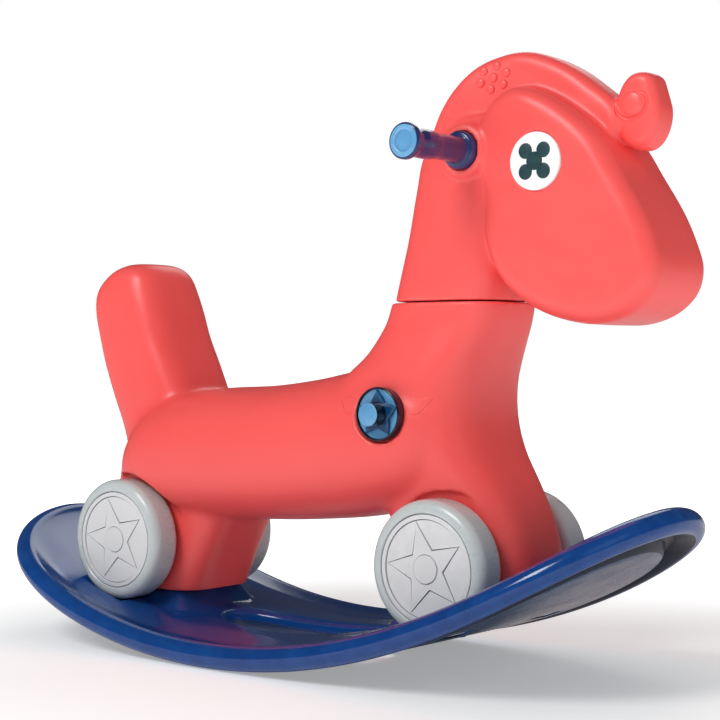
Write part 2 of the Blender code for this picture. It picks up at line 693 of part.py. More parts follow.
def make_torso():
    coral = material("coral", CORAL, 0.38)
    hollow = body_union("torso_hollow", SHELL_WALL, 12)
    solids = [make_object("sole", under_sole(SHELL_WALL))]
    cuts = [make_object("sole", under_sole(0.0))]
    for side in (-1, 1):
        solids.append(make_object("knob_boss", tube_y(KNOB_RADIUS + 0.005, side * (KNOB_SEAT_Y - SHELL_WALL),
                                                      side * 0.12, BOLT_X, BOLT_RISE)))
        cuts.append(make_object("knob_pocket", tube_y(KNOB_RADIUS + 3 * GAP, side * KNOB_SEAT_Y,
                                                      side * 0.12, BOLT_X, BOLT_RISE, 32)))
        for end in (-1, 1):
            solids.append(arch_cut(end, side, SHELL_WALL))
            cuts.append(arch_cut(end, side, 0.0))
    combine(hollow, solids, "DIFFERENCE")
    cuts.append(make_object("bolt_hole", tube_y(BOLT_RADIUS + GAP, -0.12, 0.12, BOLT_X, BOLT_RISE, 16)))
    for end in (-1, 1):
        cuts.append(make_object("axle_hole", tube_y(BUSH_RADIUS + GAP, -0.12, 0.12,
                                                    wheel_x(end), AXLE_RISE, 20)))
        cuts.append(make_object("sole_hole", post(SOLE_HOLE_RADIUS, 0.0, SOLE_RISE + 0.03, screw_x(end))))
    torso = body_union("torso", 0.0, 18)
    combine(torso, [hollow] + cuts, "DIFFERENCE")
    set_finish(torso, coral)


# ---------------------------------------------------------------- head

NECK = [
    (SEAM_RISE + GAP / 2, 0.1010, 0.2041, 0.0478, NECK_POWER),
    (SEAM_RISE + GAP / 2 + 0.0025, 0.0985, 0.2061, 0.0500, NECK_POWER),
    (0.3438, 0.1033, 0.2104, 0.0492, NECK_POWER),
    (0.3774, 0.1102, 0.2143, 0.0468, 3.2),
    (0.4157, 0.1156, 0.2202, 0.0439, 3.0),
    (0.4491, 0.1215, 0.2250, 0.0395, 2.8),
    (0.4777, 0.1430, 0.2299, 0.0300, 2.6),
]

MANE = [
    (0.1190, 0.4000), (0.1260, 0.4350), (0.1355, 0.4640), (0.1450, 0.4870), (0.1600, 0.5070),
    (0.1800, 0.5220), (0.2060, 0.5295), (0.2320, 0.5255), (0.2635, 0.5095), (0.2900, 0.4895),
    (0.3090, 0.4720), (0.3100, 0.4540), (0.2940, 0.4400), (0.2640, 0.4260), (0.2217, 0.3958),
    (0.1680, 0.3820),
]

FACE = [
    (0.1978, 0.4079), (0.1890, 0.4349), (0.1890, 0.4636), (0.2056, 0.4882), (0.2299, 0.4965),
    (0.2560, 0.4890), (0.2830, 0.4720), (0.3070, 0.4504), (0.3258, 0.4217), (0.3448, 0.3912),
    (0.3568, 0.3645), (0.3620, 0.3440), (0.3560, 0.3230), (0.3370, 0.3070), (0.3100, 0.2994),
    (0.2831, 0.3013), (0.2541, 0.3100), (0.2280, 0.3254), (0.2104, 0.3465), (0.2007, 0.3753),
]


def mane_width(x):
    """Half width of the mane: wide at the neck, narrow at the forelock."""
    if x < 0.20:
        return 0.0220 + 0.0150 * (0.20 - x) / 0.08
    return max(0.0180, 0.0220 - 0.0040 * (x - 0.20) / 0.11)


def face_width(x):
    """Half width of the face: full at the cheek, narrower at the muzzle."""
    share = min(1.0, max(0.0, (x - 0.20) / 0.16))
    return FACE_HALF_WIDTH + (MUZZLE_HALF_WIDTH - FACE_HALF_WIDTH) * share


def curl_points():
    return [(CURL_X + CURL_RADIUS * math.cos(a), CURL_RISE + CURL_RADIUS * math.sin(a))
            for a in (2 * math.pi * i / 10 for i in range(10))]


def head_union(name, wall, count, steps):
    """The head's outer shape, or its hollow when a wall is given."""
    neck = NECK
    if wall:
        neck = [(SEAM_RISE - 0.004,) + NECK[1][1:]] + NECK[2:]
        neck = shorten(neck, 0, wall)
    head = make_object(name, column(neck, wall, count))
    parts = [make_object("face", pillow(FACE, face_width, FACE_ROUNDING, wall, steps)),
             make_object("mane", pillow(MANE, mane_width, MANE_ROUNDING, wall, steps))]
    if not wall:
        parts.append(make_object("curl", pillow(curl_points(), lambda x: CURL_HALF_WIDTH, CURL_ROUNDING)))
    return combine(head, parts, "UNION")


def spigot(wall, z_start, z_end):
    """Neck spigot that drops inside the torso's neck, clear of its wall all the way down."""
    around = [station for station in CHEST if station[0] > SEAM_RISE - SPIGOT_LENGTH - 0.02]
    back = max(station[1] for station in around) + SHELL_WALL + SPIGOT_CLEARANCE
    front = min(station[2] for station in around) - SHELL_WALL - SPIGOT_CLEARANCE
    half_width = min(station[3] for station in around) - SHELL_WALL - SPIGOT_CLEARANCE
    return column([(z, back, front, half_width, 3.0) for z in (z_start, z_end)], wall, 20)


def make_head():
    coral = material("coral", CORAL, 0.38)
    hollow = head_union("head_hollow", SHELL_WALL, 12, 1)
    solids = []
    cuts = []
    rings = []
    for side in (-1, 1):
        rings.append(make_object("ring", turned_at(GRIP_RING_RADIUS, side)))
        solids.append(make_object("bar_boss", tube_y(GRIP_RING_RADIUS, side * (GRIP_SEAT_Y - 0.014),
                                                     side * 0.08, BAR_X, BAR_RISE)))
        solids.append(make_object("eye_boss", tube_y(EYE_RADIUS + 0.004, side * (EYE_SEAT_Y - SHELL_WALL),
                                                     side * 0.08, EYE_X, EYE_RISE)))
        cuts.append(make_object("eye_pocket", tube_y(EYE_RADIUS + GAP, side * EYE_SEAT_Y,
                                                     side * 0.08, EYE_X, EYE_RISE, 32)))
        cuts.append(make_object("grip_pocket", tube_y(GRIP_COLLAR_RADIUS + GAP, side * (GRIP_SEAT_Y - 0.004),
                                                      side * 0.08, BAR_X, BAR_RISE, 28)))
    combine(hollow, solids, "DIFFERENCE")
    outer_spigot = make_object("spigot", spigot(0.0, SEAM_RISE - SPIGOT_LENGTH, SEAM_RISE + 0.004))
    combine(outer_spigot, [make_object("spigot_bore", spigot(SPIGOT_WALL, SEAM_RISE - SPIGOT_LENGTH - 0.01,
                                                             SEAM_RISE + 0.02))], "DIFFERENCE")
    bore = make_object("bore", spigot(SPIGOT_WALL, SEAM_RISE - 0.01, SEAM_RISE + 0.03))
    lid = make_object("lid", column([(SEAM_RISE - 0.02, 0.0, 0.3, 0.1, 4.0),
                                     (SEAM_RISE + GAP / 2 + 0.0045, 0.0, 0.3, 0.1, 4.0)]))
    combine(hollow, [lid], "DIFFERENCE")
    head = head_union("head", 0.0, 16, 2)
    combine(head, rings, "UNION")
    combine(head, [hollow, bore], "DIFFERENCE")
    combine(head, [outer_spigot], "UNION")
    cuts.append(make_object("bar_hole", tube_y(BAR_RADIUS + GAP, -0.08, 0.08, BAR_X, BAR_RISE, 20)))
    cuts.append(make_object("bolt_hole", tube_y(BOLT_RADIUS + GAP, -0.08, 0.08, BOLT_X, BOLT_RISE, 16)))
    combine(head, cuts, "DIFFERENCE")
    set_finish(head, coral)


def turned_at(radius, side):
    """Raised ring around the handlebar, on one side of the head."""
    bm = turned([(radius, 0.020), (radius - 0.001, GRIP_SEAT_Y - 0.003), (radius - 0.004, GRIP_SEAT_Y)], 28, False)
    mirrored(bm, side)
    bmesh.ops.translate(bm, verts=bm.verts, vec=(BAR_X, 0, BAR_RISE))
    return bm


# ---------------------------------------------------------------- fittings

def make_handlebar():
    blue = material("grip_blue", BLUE, 0.3)
    light = material("cap_blue", LIGHT_BLUE, 0.3)
    steel = material("steel", STEEL, 0.35, 1.0)
    foot = GRIP_SEAT_Y - 0.004 + GAP
    end = foot + GRIP_LENGTH
    bar_end = end - 0.012
    bar = make_object("handlebar_rod", turned([
        (BAR_BORE_RADIUS, -bar_end), (BAR_RADIUS - 0.001, -bar_end), (BAR_RADIUS, -bar_end + 0.001),
        (BAR_RADIUS, bar_end - 0.001), (BAR_RADIUS - 0.001, bar_end), (BAR_BORE_RADIUS, bar_end)],
        16, True), steel)
    bar.location = (BAR_X, 0, BAR_RISE)
    hole = BAR_RADIUS + GAP
    profile = [(hole, foot), (GRIP_COLLAR_RADIUS, foot), (GRIP_COLLAR_RADIUS, foot + 0.007),
               (GRIP_COLLAR_RADIUS - 0.0018, foot + 0.0095), (GRIP_RADIUS + 0.0012, foot + 0.011),
               (GRIP_RADIUS, foot + 0.014), (GRIP_RADIUS, end - 0.013),
               (GRIP_FLANGE_RADIUS, end - 0.0050), (GRIP_FLANGE_RADIUS, end - 0.0018),
               (GRIP_FLANGE_RADIUS - 0.0014, end), (GRIP_CAP_RADIUS + GAP, end),
               (GRIP_CAP_RADIUS + GAP, end - 0.004), (hole, end - 0.004)]
    for side, side_name in ((-1, "right"), (1, "left")):
        grip = make_object("grip_" + side_name, mirrored(turned(profile, 16, True), side), blue)
        grip.location = (BAR_X, 0, BAR_RISE)
        cap = make_object("grip_cap_" + side_name, mirrored(turned([
            (GRIP_CAP_RADIUS, end - 0.004 + GAP), (GRIP_CAP_RADIUS, end - 0.0016),
            (GRIP_CAP_RADIUS - 0.0015, end - 0.0008)], 24, False), side), light)
        cap.location = (BAR_X, 0, BAR_RISE)


def make_eyes():
    white = material("eye_white", WHITE, 0.25)
    for side, side_name in ((-1, "right"), (1, "left")):
        eye = make_object("eye_" + side_name, mirrored(turned([
            (EYE_RADIUS, EYE_SEAT_Y + GAP), (EYE_RADIUS, EYE_SEAT_Y + EYE_THICKNESS - 0.0008),
            (EYE_RADIUS - 0.0012, EYE_SEAT_Y + EYE_THICKNESS)], 32, False), side), white)
        eye.location = (EYE_X, 0, EYE_RISE)


def make_neck_bolt():
    blue = material("grip_blue", BLUE, 0.3)
    steel = material("steel", STEEL, 0.35, 1.0)
    back = KNOB_SEAT_Y + GAP
    face = back + KNOB_THICKNESS
    bolt_end = face
    bolt = make_object("neck_bolt", turned([
        (BOLT_RADIUS - 0.0008, -bolt_end), (BOLT_RADIUS, -bolt_end + 0.0008),
        (BOLT_RADIUS, bolt_end - 0.0008), (BOLT_RADIUS - 0.0008, bolt_end)], 12, False), steel)
    bolt.location = (BOLT_X, 0, BOLT_RISE)
    for side, side_name in ((-1, "right"), (1, "left")):
        disc = make_object("star_knob_" + side_name, mirrored(turned([
            (KNOB_RADIUS, back), (KNOB_RADIUS, face - 0.0035), (KNOB_RADIUS - 0.0015, face - 0.002),
            (KNOB_RADIUS - 0.0025, face - 0.0045)], 24, False), side))
        star = make_object("star", mirrored(star_prism(KNOB_RADIUS - 0.0022, 0.0135, back + 0.001,
                                                       face, 0.0022), side))
        boss = make_object("boss", mirrored(turned([
            (KNOB_BOSS_RADIUS + 0.0008, back + 0.001), (KNOB_BOSS_RADIUS, face + KNOB_BOSS_RISE - 0.001),
            (KNOB_BOSS_RADIUS - 0.001, face + KNOB_BOSS_RISE)], 16, False), side))
        bore = make_object("bore", mirrored(turned([
            (BOLT_RADIUS + GAP, back - 0.01), (BOLT_RADIUS + GAP, face + 0.002)], 16, False), side))
        combine(disc, [star, boss], "UNION")
        combine(disc, [bore], "DIFFERENCE")
        set_finish(disc, blue)
        disc.location = (BOLT_X, 0, BOLT_RISE)


def main():
    clear_scene()
    make_tray()
    make_screws()
    make_wheels()
    make_torso()
    make_head()
    make_handlebar()
    make_eyes()
    make_neck_bolt()


main()
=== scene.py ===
import math

import bmesh
import bpy
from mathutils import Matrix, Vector
from mathutils.bvhtree import BVHTree


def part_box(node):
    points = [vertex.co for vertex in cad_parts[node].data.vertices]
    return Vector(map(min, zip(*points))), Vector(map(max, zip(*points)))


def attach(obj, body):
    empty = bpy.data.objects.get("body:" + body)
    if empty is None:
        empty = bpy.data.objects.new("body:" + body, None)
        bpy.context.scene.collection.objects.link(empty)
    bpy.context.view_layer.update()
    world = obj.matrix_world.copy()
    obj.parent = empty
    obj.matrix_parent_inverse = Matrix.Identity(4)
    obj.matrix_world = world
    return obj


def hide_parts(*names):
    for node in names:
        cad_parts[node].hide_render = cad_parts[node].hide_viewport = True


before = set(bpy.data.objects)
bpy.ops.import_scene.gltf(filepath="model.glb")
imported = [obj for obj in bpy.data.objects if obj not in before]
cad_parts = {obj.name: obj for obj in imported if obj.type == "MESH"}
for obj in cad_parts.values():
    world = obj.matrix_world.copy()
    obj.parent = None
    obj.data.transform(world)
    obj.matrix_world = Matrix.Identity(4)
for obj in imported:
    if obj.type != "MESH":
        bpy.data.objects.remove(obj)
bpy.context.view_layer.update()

print("stage: frame loaded,", len(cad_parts), "nodes")

# things shared by every piece
roundSteps = 96          # segments on turned pieces
seamGap = 0.0012         # shadow line between head and torso
sides = {"right": -1, "left": 1}
ends = {"rear": -1, "front": 1}


def centreOf(node):
    low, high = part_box(node)
    return (low + high) / 2


def halfOf(node):
    low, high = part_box(node)
    return (high - low) / 2


# ---- finishes

def startMaterial(name):
    mat = bpy.data.materials.new(name)
    mat.use_nodes = True
    tree = mat.node_tree
    return mat, tree, tree.nodes["Principled BSDF"]


def noiseNode(tree, scale, detail=3.0, stretch=(1, 1, 1)):
    coords = tree.nodes.new("ShaderNodeTexCoord")
    mapping = tree.nodes.new("ShaderNodeMapping")
    mapping.inputs["Scale"].default_value = stretch
    noise = tree.nodes.new("ShaderNodeTexNoise")
    noise.inputs["Scale"].default_value = scale
    noise.inputs["Detail"].default_value = detail
    tree.links.new(coords.outputs["Object"], mapping.inputs["Vector"])
    tree.links.new(mapping.outputs["Vector"], noise.inputs["Vector"])
    return noise.outputs["Fac"]


def spreadOut(tree, value, low, high, fromLow=0.3, fromHigh=0.7):
    node = tree.nodes.new("ShaderNodeMapRange")
    node.inputs["From Min"].default_value = fromLow
    node.inputs["From Max"].default_value = fromHigh
    node.inputs["To Min"].default_value = low
    node.inputs["To Max"].default_value = high
    tree.links.new(value, node.inputs["Value"])
    return node.outputs["Result"]


def mixColour(tree, share, first, second):
    node = tree.nodes.new("ShaderNodeMix")
    node.data_type = "RGBA"
    tree.links.new(share, node.inputs["Factor"])
    for socket, colour in ((node.inputs[6], first), (node.inputs[7], second)):
        if isinstance(colour, tuple):
            socket.default_value = (*colour, 1.0)
        else:
            tree.links.new(colour, socket)
    return node.outputs[2]


def bumpNode(tree, height, strength, distance, normal=None):
    node = tree.nodes.new("ShaderNodeBump")
    node.inputs["Strength"].default_value = strength
    node.inputs["Distance"].default_value = distance
    tree.links.new(height, node.inputs["Height"])
    if normal is not None:
        tree.links.new(normal, node.inputs["Normal"])
    return node.outputs["Normal"]


def edgeWearAndHighlightMask(tree, low=0.505, high=0.56):
    # pointiness mask for convex edges, which are painted paler: partly edge wear, partly painted highlight
    geometry = tree.nodes.new("ShaderNodeNewGeometry")
    return spreadOut(tree, geometry.outputs["Pointiness"], 0.0, 1.0, low, high)


def mouldedPlastic(name, look):
    # base colour drifts between two shades, convex edges go paler as wear and as a painted edge highlight, fine
    # grain and scuffs break the gloss
    mat, tree, shader = startMaterial(name)
    drift = spreadOut(tree, noiseNode(tree, look["driftScale"]), 0.0, 1.0)
    colour = mixColour(tree, drift, look["colour"], look["shade"])
    wearAndHighlight = edgeWearAndHighlightMask(tree)
    patchy = tree.nodes.new("ShaderNodeMath")
    patchy.operation = "MULTIPLY"
    tree.links.new(wearAndHighlight, patchy.inputs[0])
    tree.links.new(spreadOut(tree, noiseNode(tree, 60.0), 0.0, look["wearAndHighlight"], 0.4, 0.65), patchy.inputs[1])
    colour = mixColour(tree, patchy.outputs[0], colour, look["wornAndHighlitColour"])
    tree.links.new(colour, shader.inputs["Base Color"])
    low, high = look["roughness"]
    scuffs = noiseNode(tree, look["scuffScale"], 6.0, look.get("scuffStretch", (1.0, 1.0, 2.0)))
    tree.links.new(spreadOut(tree, scuffs, low, high), shader.inputs["Roughness"])
    grain = noiseNode(tree, look["grainScale"], 2.0)
    normal = bumpNode(tree, grain, look["grain"], 0.0004)
    waves = noiseNode(tree, 14.0, 1.0)
    normal = bumpNode(tree, waves, look["waves"], 0.004, normal)
    tree.links.new(normal, shader.inputs["Normal"])
    shader.inputs["Specular IOR Level"].default_value = look.get("specular", 0.5)
    shader.inputs["Coat Weight"].default_value = look["coat"]
    shader.inputs["Coat Roughness"].default_value = look.get("coatRoughness", 0.08)
    return mat


def brushedMetal(name, look):
    mat, tree, shader = startMaterial(name)
    brush = noiseNode(tree, look["brushScale"], 4.0, look["stretch"])
    tree.links.new(mixColour(tree, brush, look["colour"], look["shade"]), shader.inputs["Base Color"])
    tree.links.new(spreadOut(tree, brush, *look["roughness"]), shader.inputs["Roughness"])
    tree.links.new(bumpNode(tree, brush, 0.15, 0.0002), shader.inputs["Normal"])
    shader.inputs["Metallic"].default_value = 1.0
    return mat


coralPlastic = mouldedPlastic("coral_plastic", {
    "colour": (0.965, 0.104, 0.096), "shade": (0.925, 0.090, 0.084), "wornAndHighlitColour": (0.960, 0.200, 0.180),
    "wearAndHighlight": 0.6, "driftScale": 5.0, "roughness": (0.33, 0.43), "scuffScale": 35.0,
    "grainScale": 900.0, "grain": 0.10, "waves": 0.02, "coat": 0.10, "coatRoughness": 0.25})
bluePlastic = mouldedPlastic("rocker_blue_plastic", {
    "colour": (0.0040, 0.058, 0.262), "shade": (0.0030, 0.046, 0.215), "wornAndHighlitColour": (0.020, 0.120, 0.400),
    "wearAndHighlight": 0.8, "driftScale": 6.0, "roughness": (0.11, 0.22), "scuffScale": 28.0,
    "grainScale": 700.0, "grain": 0.04, "waves": 0.03, "coat": 0.3})
# darker copy of the tray's blue: painted shade on the underside panel and the screw bosses
underShadePlastic = mouldedPlastic("rocker_under_painted_shade", {
    "colour": (0.010, 0.040, 0.125), "shade": (0.008, 0.030, 0.100), "wornAndHighlitColour": (0.100, 0.160, 0.300),
    "wearAndHighlight": 0.8, "driftScale": 6.0, "roughness": (0.20, 0.34), "scuffScale": 28.0,
    "grainScale": 700.0, "grain": 0.06, "waves": 0.03, "coat": 0.4})
# near-black painted shade for the hollow channel under the bead and the screw bores
channelShadePlastic = mouldedPlastic("rocker_channel_painted_shade", {
    "colour": (0.004, 0.010, 0.030), "shade": (0.003, 0.008, 0.022), "wornAndHighlitColour": (0.02, 0.05, 0.12),
    "wearAndHighlight": 0.3, "driftScale": 9.0, "roughness": (0.35, 0.50), "scuffScale": 28.0,
    "grainScale": 700.0, "grain": 0.06, "waves": 0.02, "coat": 0.1})
tyrePlastic = mouldedPlastic("tyre_grey_plastic", {
    "colour": (0.560, 0.605, 0.610), "shade": (0.520, 0.570, 0.575), "wornAndHighlitColour": (0.720, 0.740, 0.740),
    "wearAndHighlight": 0.6, "driftScale": 18.0, "roughness": (0.24, 0.36), "scuffScale": 60.0,
    "grainScale": 1100.0, "grain": 0.08, "waves": 0.03, "coat": 0.35, "coatRoughness": 0.15})
capPlastic = mouldedPlastic("cap_silver_plastic", {
    "colour": (0.720, 0.725, 0.735), "shade": (0.690, 0.695, 0.705), "wornAndHighlitColour": (0.800, 0.800, 0.810),
    "wearAndHighlight": 0.6, "driftScale": 22.0, "roughness": (0.28, 0.38), "scuffScale": 60.0,
    "grainScale": 1500.0, "grain": 0.12, "waves": 0.02, "coat": 0.3, "coatRoughness": 0.2})
capGrooveShade = mouldedPlastic("cap_line_shadow", {
    "colour": (0.030, 0.032, 0.036), "shade": (0.022, 0.024, 0.028), "wornAndHighlitColour": (0.08, 0.08, 0.09),
    "wearAndHighlight": 0.3, "driftScale": 30.0, "roughness": (0.5, 0.6), "scuffScale": 60.0,
    "grainScale": 900.0, "grain": 0.05, "waves": 0.02, "coat": 0.0})
gripPlastic = mouldedPlastic("grip_navy_plastic", {
    "colour": (0.012, 0.034, 0.150), "shade": (0.016, 0.026, 0.110), "wornAndHighlitColour": (0.060, 0.100, 0.260),
    "wearAndHighlight": 0.8, "driftScale": 30.0, "roughness": (0.16, 0.28), "scuffScale": 70.0,
    "grainScale": 1300.0, "grain": 0.06, "waves": 0.03, "coat": 0.5})
skyPlastic = mouldedPlastic("sky_blue_plastic", {
    "colour": (0.130, 0.370, 0.640), "shade": (0.095, 0.300, 0.560), "wornAndHighlitColour": (0.300, 0.580, 0.850),
    "wearAndHighlight": 0.8, "driftScale": 40.0, "roughness": (0.18, 0.30), "scuffScale": 70.0,
    "grainScale": 1300.0, "grain": 0.05, "waves": 0.03, "coat": 0.5})
knobPlastic = mouldedPlastic("knob_navy_plastic", {
    "colour": (0.006, 0.060, 0.170), "shade": (0.004, 0.036, 0.110), "wornAndHighlitColour": (0.030, 0.160, 0.330),
    "wearAndHighlight": 0.8, "driftScale": 50.0, "roughness": (0.10, 0.20), "scuffScale": 70.0,
    "grainScale": 1300.0, "grain": 0.04, "waves": 0.03, "coat": 0.7})
# near-black painted shade for the knob's rim and boss sides
knobShadePlastic = mouldedPlastic("knob_painted_shade", {
    "colour": (0.003, 0.004, 0.010), "shade": (0.002, 0.003, 0.008), "wornAndHighlitColour": (0.02, 0.03, 0.06),
    "wearAndHighlight": 0.6, "driftScale": 50.0, "roughness": (0.14, 0.26), "scuffScale": 70.0,
    "grainScale": 1300.0, "grain": 0.04, "waves": 0.03, "coat": 0.4})
eyePlastic = mouldedPlastic("eye_white_plastic", {
    "colour": (0.930, 0.930, 0.925), "shade": (0.890, 0.890, 0.885), "wornAndHighlitColour": (0.960, 0.960, 0.955),
    "wearAndHighlight": 0.3, "driftScale": 30.0, "roughness": (0.16, 0.24), "scuffScale": 70.0,
    "grainScale": 1300.0, "grain": 0.03, "waves": 0.02, "coat": 0.4})
cloverPrint = mouldedPlastic("eye_teal_print", {
    "colour": (0.009, 0.040, 0.050), "shade": (0.014, 0.058, 0.066), "wornAndHighlitColour": (0.03, 0.09, 0.10),
    "wearAndHighlight": 0.3, "driftScale": 160.0, "roughness": (0.34, 0.46), "scuffScale": 90.0,
    "grainScale": 1300.0, "grain": 0.10, "waves": 0.02, "coat": 0.1})
bushPlastic = mouldedPlastic("bush_natural_plastic", {
    "colour": (0.74, 0.73, 0.68), "shade": (0.68, 0.67, 0.61), "wornAndHighlitColour": (0.82, 0.81, 0.77),
    "wearAndHighlight": 0.3, "driftScale": 40.0, "roughness": (0.40, 0.52), "scuffScale": 60.0,
    "grainScale": 1200.0, "grain": 0.06, "waves": 0.02, "coat": 0.0})
zincSteel = brushedMetal("zinc_steel", {
    "colour": (0.62, 0.63, 0.65), "shade": (0.50, 0.51, 0.54), "roughness": (0.24, 0.42),
    "brushScale": 260.0, "stretch": (1.0, 0.12, 1.0)})
print("stage: finishes made")


# ---- mesh helpers

def newObject(name, bm, *finish):
    bmesh.ops.recalc_face_normals(bm, faces=bm.faces[:])
    mesh = bpy.data.meshes.new(name)
    bm.to_mesh(mesh)
    bm.free()
    obj = bpy.data.objects.new(name, mesh)
    bpy.context.scene.collection.objects.link(obj)
    for mat in finish:
        mesh.materials.append(mat)
    return obj


def shade(obj, sharpDegrees=None):
    obj.data.shade_smooth()
    if sharpDegrees:
        obj.data.set_sharp_from_angle(angle=math.radians(sharpDegrees))
    return obj


def bake(obj):
    graph = bpy.context.evaluated_depsgraph_get()
    mesh = bpy.data.meshes.new_from_object(obj.evaluated_get(graph))
    obj.modifiers.clear()
    obj.data = mesh
    return obj


def drop(obj):
    bpy.data.objects.remove(obj, do_unlink=True)


def refinish(obj, *finish):
    obj.data.materials.clear()
    for mat in finish:
        obj.data.materials.append(mat)


def boolean(obj, other, operation, solver="EXACT"):
    mod = obj.modifiers.new("cut", "BOOLEAN")
    mod.operation = operation
    mod.solver = solver
    mod.object = other
    bake(obj)
    drop(other)
    return obj


def joined(name, forms):
    # several closed forms in one mesh, still overlapping
    bm = bmesh.new()
    for form in forms:
        temp = bpy.data.meshes.new("temp")
        form.to_mesh(temp)
        bm.from_mesh(temp)
        bpy.data.meshes.remove(temp)
        form.free()
    return newObject(name, bm)


def fuse(obj, voxel, smoothing):
    # melts overlapping forms into one skin, then softens it
    remesh = obj.modifiers.new("fuse", "REMESH")
    remesh.mode = "VOXEL"
    remesh.voxel_size = voxel
    if smoothing:
        soften = obj.modifiers.new("soften", "SMOOTH")
        soften.factor = 0.5
        soften.iterations = smoothing
    return bake(obj)


def skin(rings, capped=True):
    bm = bmesh.new()
    loops = [[bm.verts.new(point) for point in ring] for ring in rings]
    pairs = list(zip(loops, loops[1:]))
    if not capped:
        pairs.append((loops[-1], loops[0]))
    count = len(loops[0])
    for lower, upper in pairs:
        for i in range(count):
            j = (i + 1) % count
            bm.faces.new((lower[i], lower[j], upper[j], upper[i]))
    if capped:
        bm.faces.new(loops[0])
        bm.faces.new(loops[-1])
    bmesh.ops.recalc_face_normals(bm, faces=bm.faces[:])
    return bm


def superellipse(angle, halfA, halfB, power, powerB=None):
    c = math.cos(angle)
    s = math.sin(angle)
    return (halfA * math.copysign(abs(c) ** (2 / power), c),
            halfB * math.copysign(abs(s) ** (2 / (powerB or power)), s))


def curveBetween(p0, p1, p2, p3, t):
    return [0.5 * (2 * b + (c - a) * t + (2 * a - 5 * b + 4 * c - d) * t * t + (3 * b - a - 3 * c + d) * t ** 3)
            for a, b, c, d in zip(p0, p1, p2, p3)]


def smoothStations(stations, steps=6):
    rows = []
    last = len(stations) - 1
    for i in range(last):
        around = [stations[min(max(i + k, 0), last)] for k in (-1, 0, 1, 2)]
        rows += [curveBetween(*around, step / steps) for step in range(steps)]
    return rows + [list(stations[-1])]


def closedCurve(points, steps):
    outline = []
    count = len(points)
    for i in range(count):
        around = [points[(i + k) % count] for k in (-1, 0, 1, 2)]
        outline += [Vector(curveBetween(*around, step / steps)) for step in range(steps)]
    return outline


def loftUp(stations, count=72):
    # a station is (z, back x, front x, half width, squareness)
    rings = []
    for z, back, front, halfWidth, power in smoothStations(stations):
        ring = []
        for i in range(count):
            x, y = superellipse(2 * math.pi * (i + 0.5) / count, (front - back) / 2, halfWidth, power)
            ring.append(((front + back) / 2 + x, y, z))
        rings.append(ring)
    return skin(rings)


def loftAlong(stations, count=72):
    # a station is (x, bottom z, top z, half width, squareness)
    rings = []
    for x, bottom, top, halfWidth, power in smoothStations(stations):
        ring = []
        for i in range(count):
            y, z = superellipse(2 * math.pi * (i + 0.5) / count, halfWidth, (top - bottom) / 2, power)
            ring.append((x, y, (top + bottom) / 2 + z))
        rings.append(ring)
    return skin(rings)


def insetOutline(outline, distance):
    area = sum(a.x * b.y - b.x * a.y for a, b in zip(outline, outline[1:] + outline[:1]))
    side = math.copysign(1.0, area)
    moved = []
    for i, point in enumerate(outline):
        along = (outline[(i + 1) % len(outline)] - outline[i - 1]).normalized()
        moved.append(point + side * distance * Vector((-along.y, along.x)))
    return moved


def pillow(outline, widthAt, rounding, cornerSteps=8):
    # thick plate with rounded edges, its outline seen from the side
    rings = []
    for i in range(2 * cornerSteps + 1):
        angle = -math.pi / 2 + math.pi * i / (2 * cornerSteps)
        ring = []
        for point in insetOutline(outline, rounding * (1 - math.cos(angle))):
            flat = widthAt(point) - rounding
            y = 0.0 if i == cornerSteps else math.copysign(flat, angle) + rounding * math.sin(angle)
            ring.append((point.x, y, point.y))
        rings.append(ring)
    return skin(rings)


def turned(profile, count=roundSteps, closed=False):
    # turned about Y; the profile is (radius, y)
    turns = [2 * math.pi * i / count for i in range(count)]
    rings = [[(radius * math.cos(a), y, radius * math.sin(a)) for a in turns] for radius, y in profile]
    return skin(rings, capped=not closed)


def corner(centreR, centreY, radius, start, stop, steps=6):
    # arc of a turned profile, angles in degrees from the radial direction
    return [(centreR + radius * math.cos(math.radians(start + (stop - start) * i / steps)),
             centreY + radius * math.sin(math.radians(start + (stop - start) * i / steps)))
            for i in range(steps + 1)]


def placed(bm, x=0.0, z=0.0, side=1, y=0.0):
    # a piece made facing +Y goes to its axle or pin, on the side asked for
    bmesh.ops.translate(bm, verts=bm.verts, vec=(0, y, 0))
    bmesh.ops.scale(bm, verts=bm.verts, vec=(1, side, 1))
    bmesh.ops.translate(bm, verts=bm.verts, vec=(x, 0, z))
    return bm


def moveMesh(obj, x, z, side):
    # the same for a piece whose mesh is already made
    bm = bmesh.new()
    bm.from_mesh(obj.data)
    placed(bm, x, z, side)
    bmesh.ops.recalc_face_normals(bm, faces=bm.faces[:])
    bm.to_mesh(obj.data)
    bm.free()


def rod(radius, yStart, yEnd, x, z, side=1, count=roundSteps):
    return placed(turned([(radius, yStart), (radius, yEnd)], count), x, z, side)


def ease(value):
    value = min(1.0, max(0.0, value))
    return value * value * (3 - 2 * value)


def rides(obj, body, slotName, *nodes):
    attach(obj, body)
    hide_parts(*nodes)
    return obj


# ---- rocker tray

tray = {
    "halfLength": 0.3524, "halfWidth": 0.1289, "sidePower": 7.4, "endPower": 1.8,
    "bead": 0.0111, "lowPointX": -0.037, "bend": (0.8226, -0.2134, 0.8352),
    "floorAtRim": 0.0180, "floorInside": 0.0212, "panel": 0.0015,
    "slotX": -0.034, "slotHalfLength": 0.092, "slotHalfWidth": 0.034, "lip": 0.0062,
    "seatHalfWidth": 0.040, "seatSlope": 0.020, "seatTop": 0.0481,
    "wellGap": 0.0015, "turnIn": 0.004, "stations": 260, "channelRings": 6, "footRings": 3, "underRings": 36}

screwBoss = {"wall": 0.0040, "cover": 0.0004, "height": 0.0120, "gap": 0.0004, "head": 0.0038}

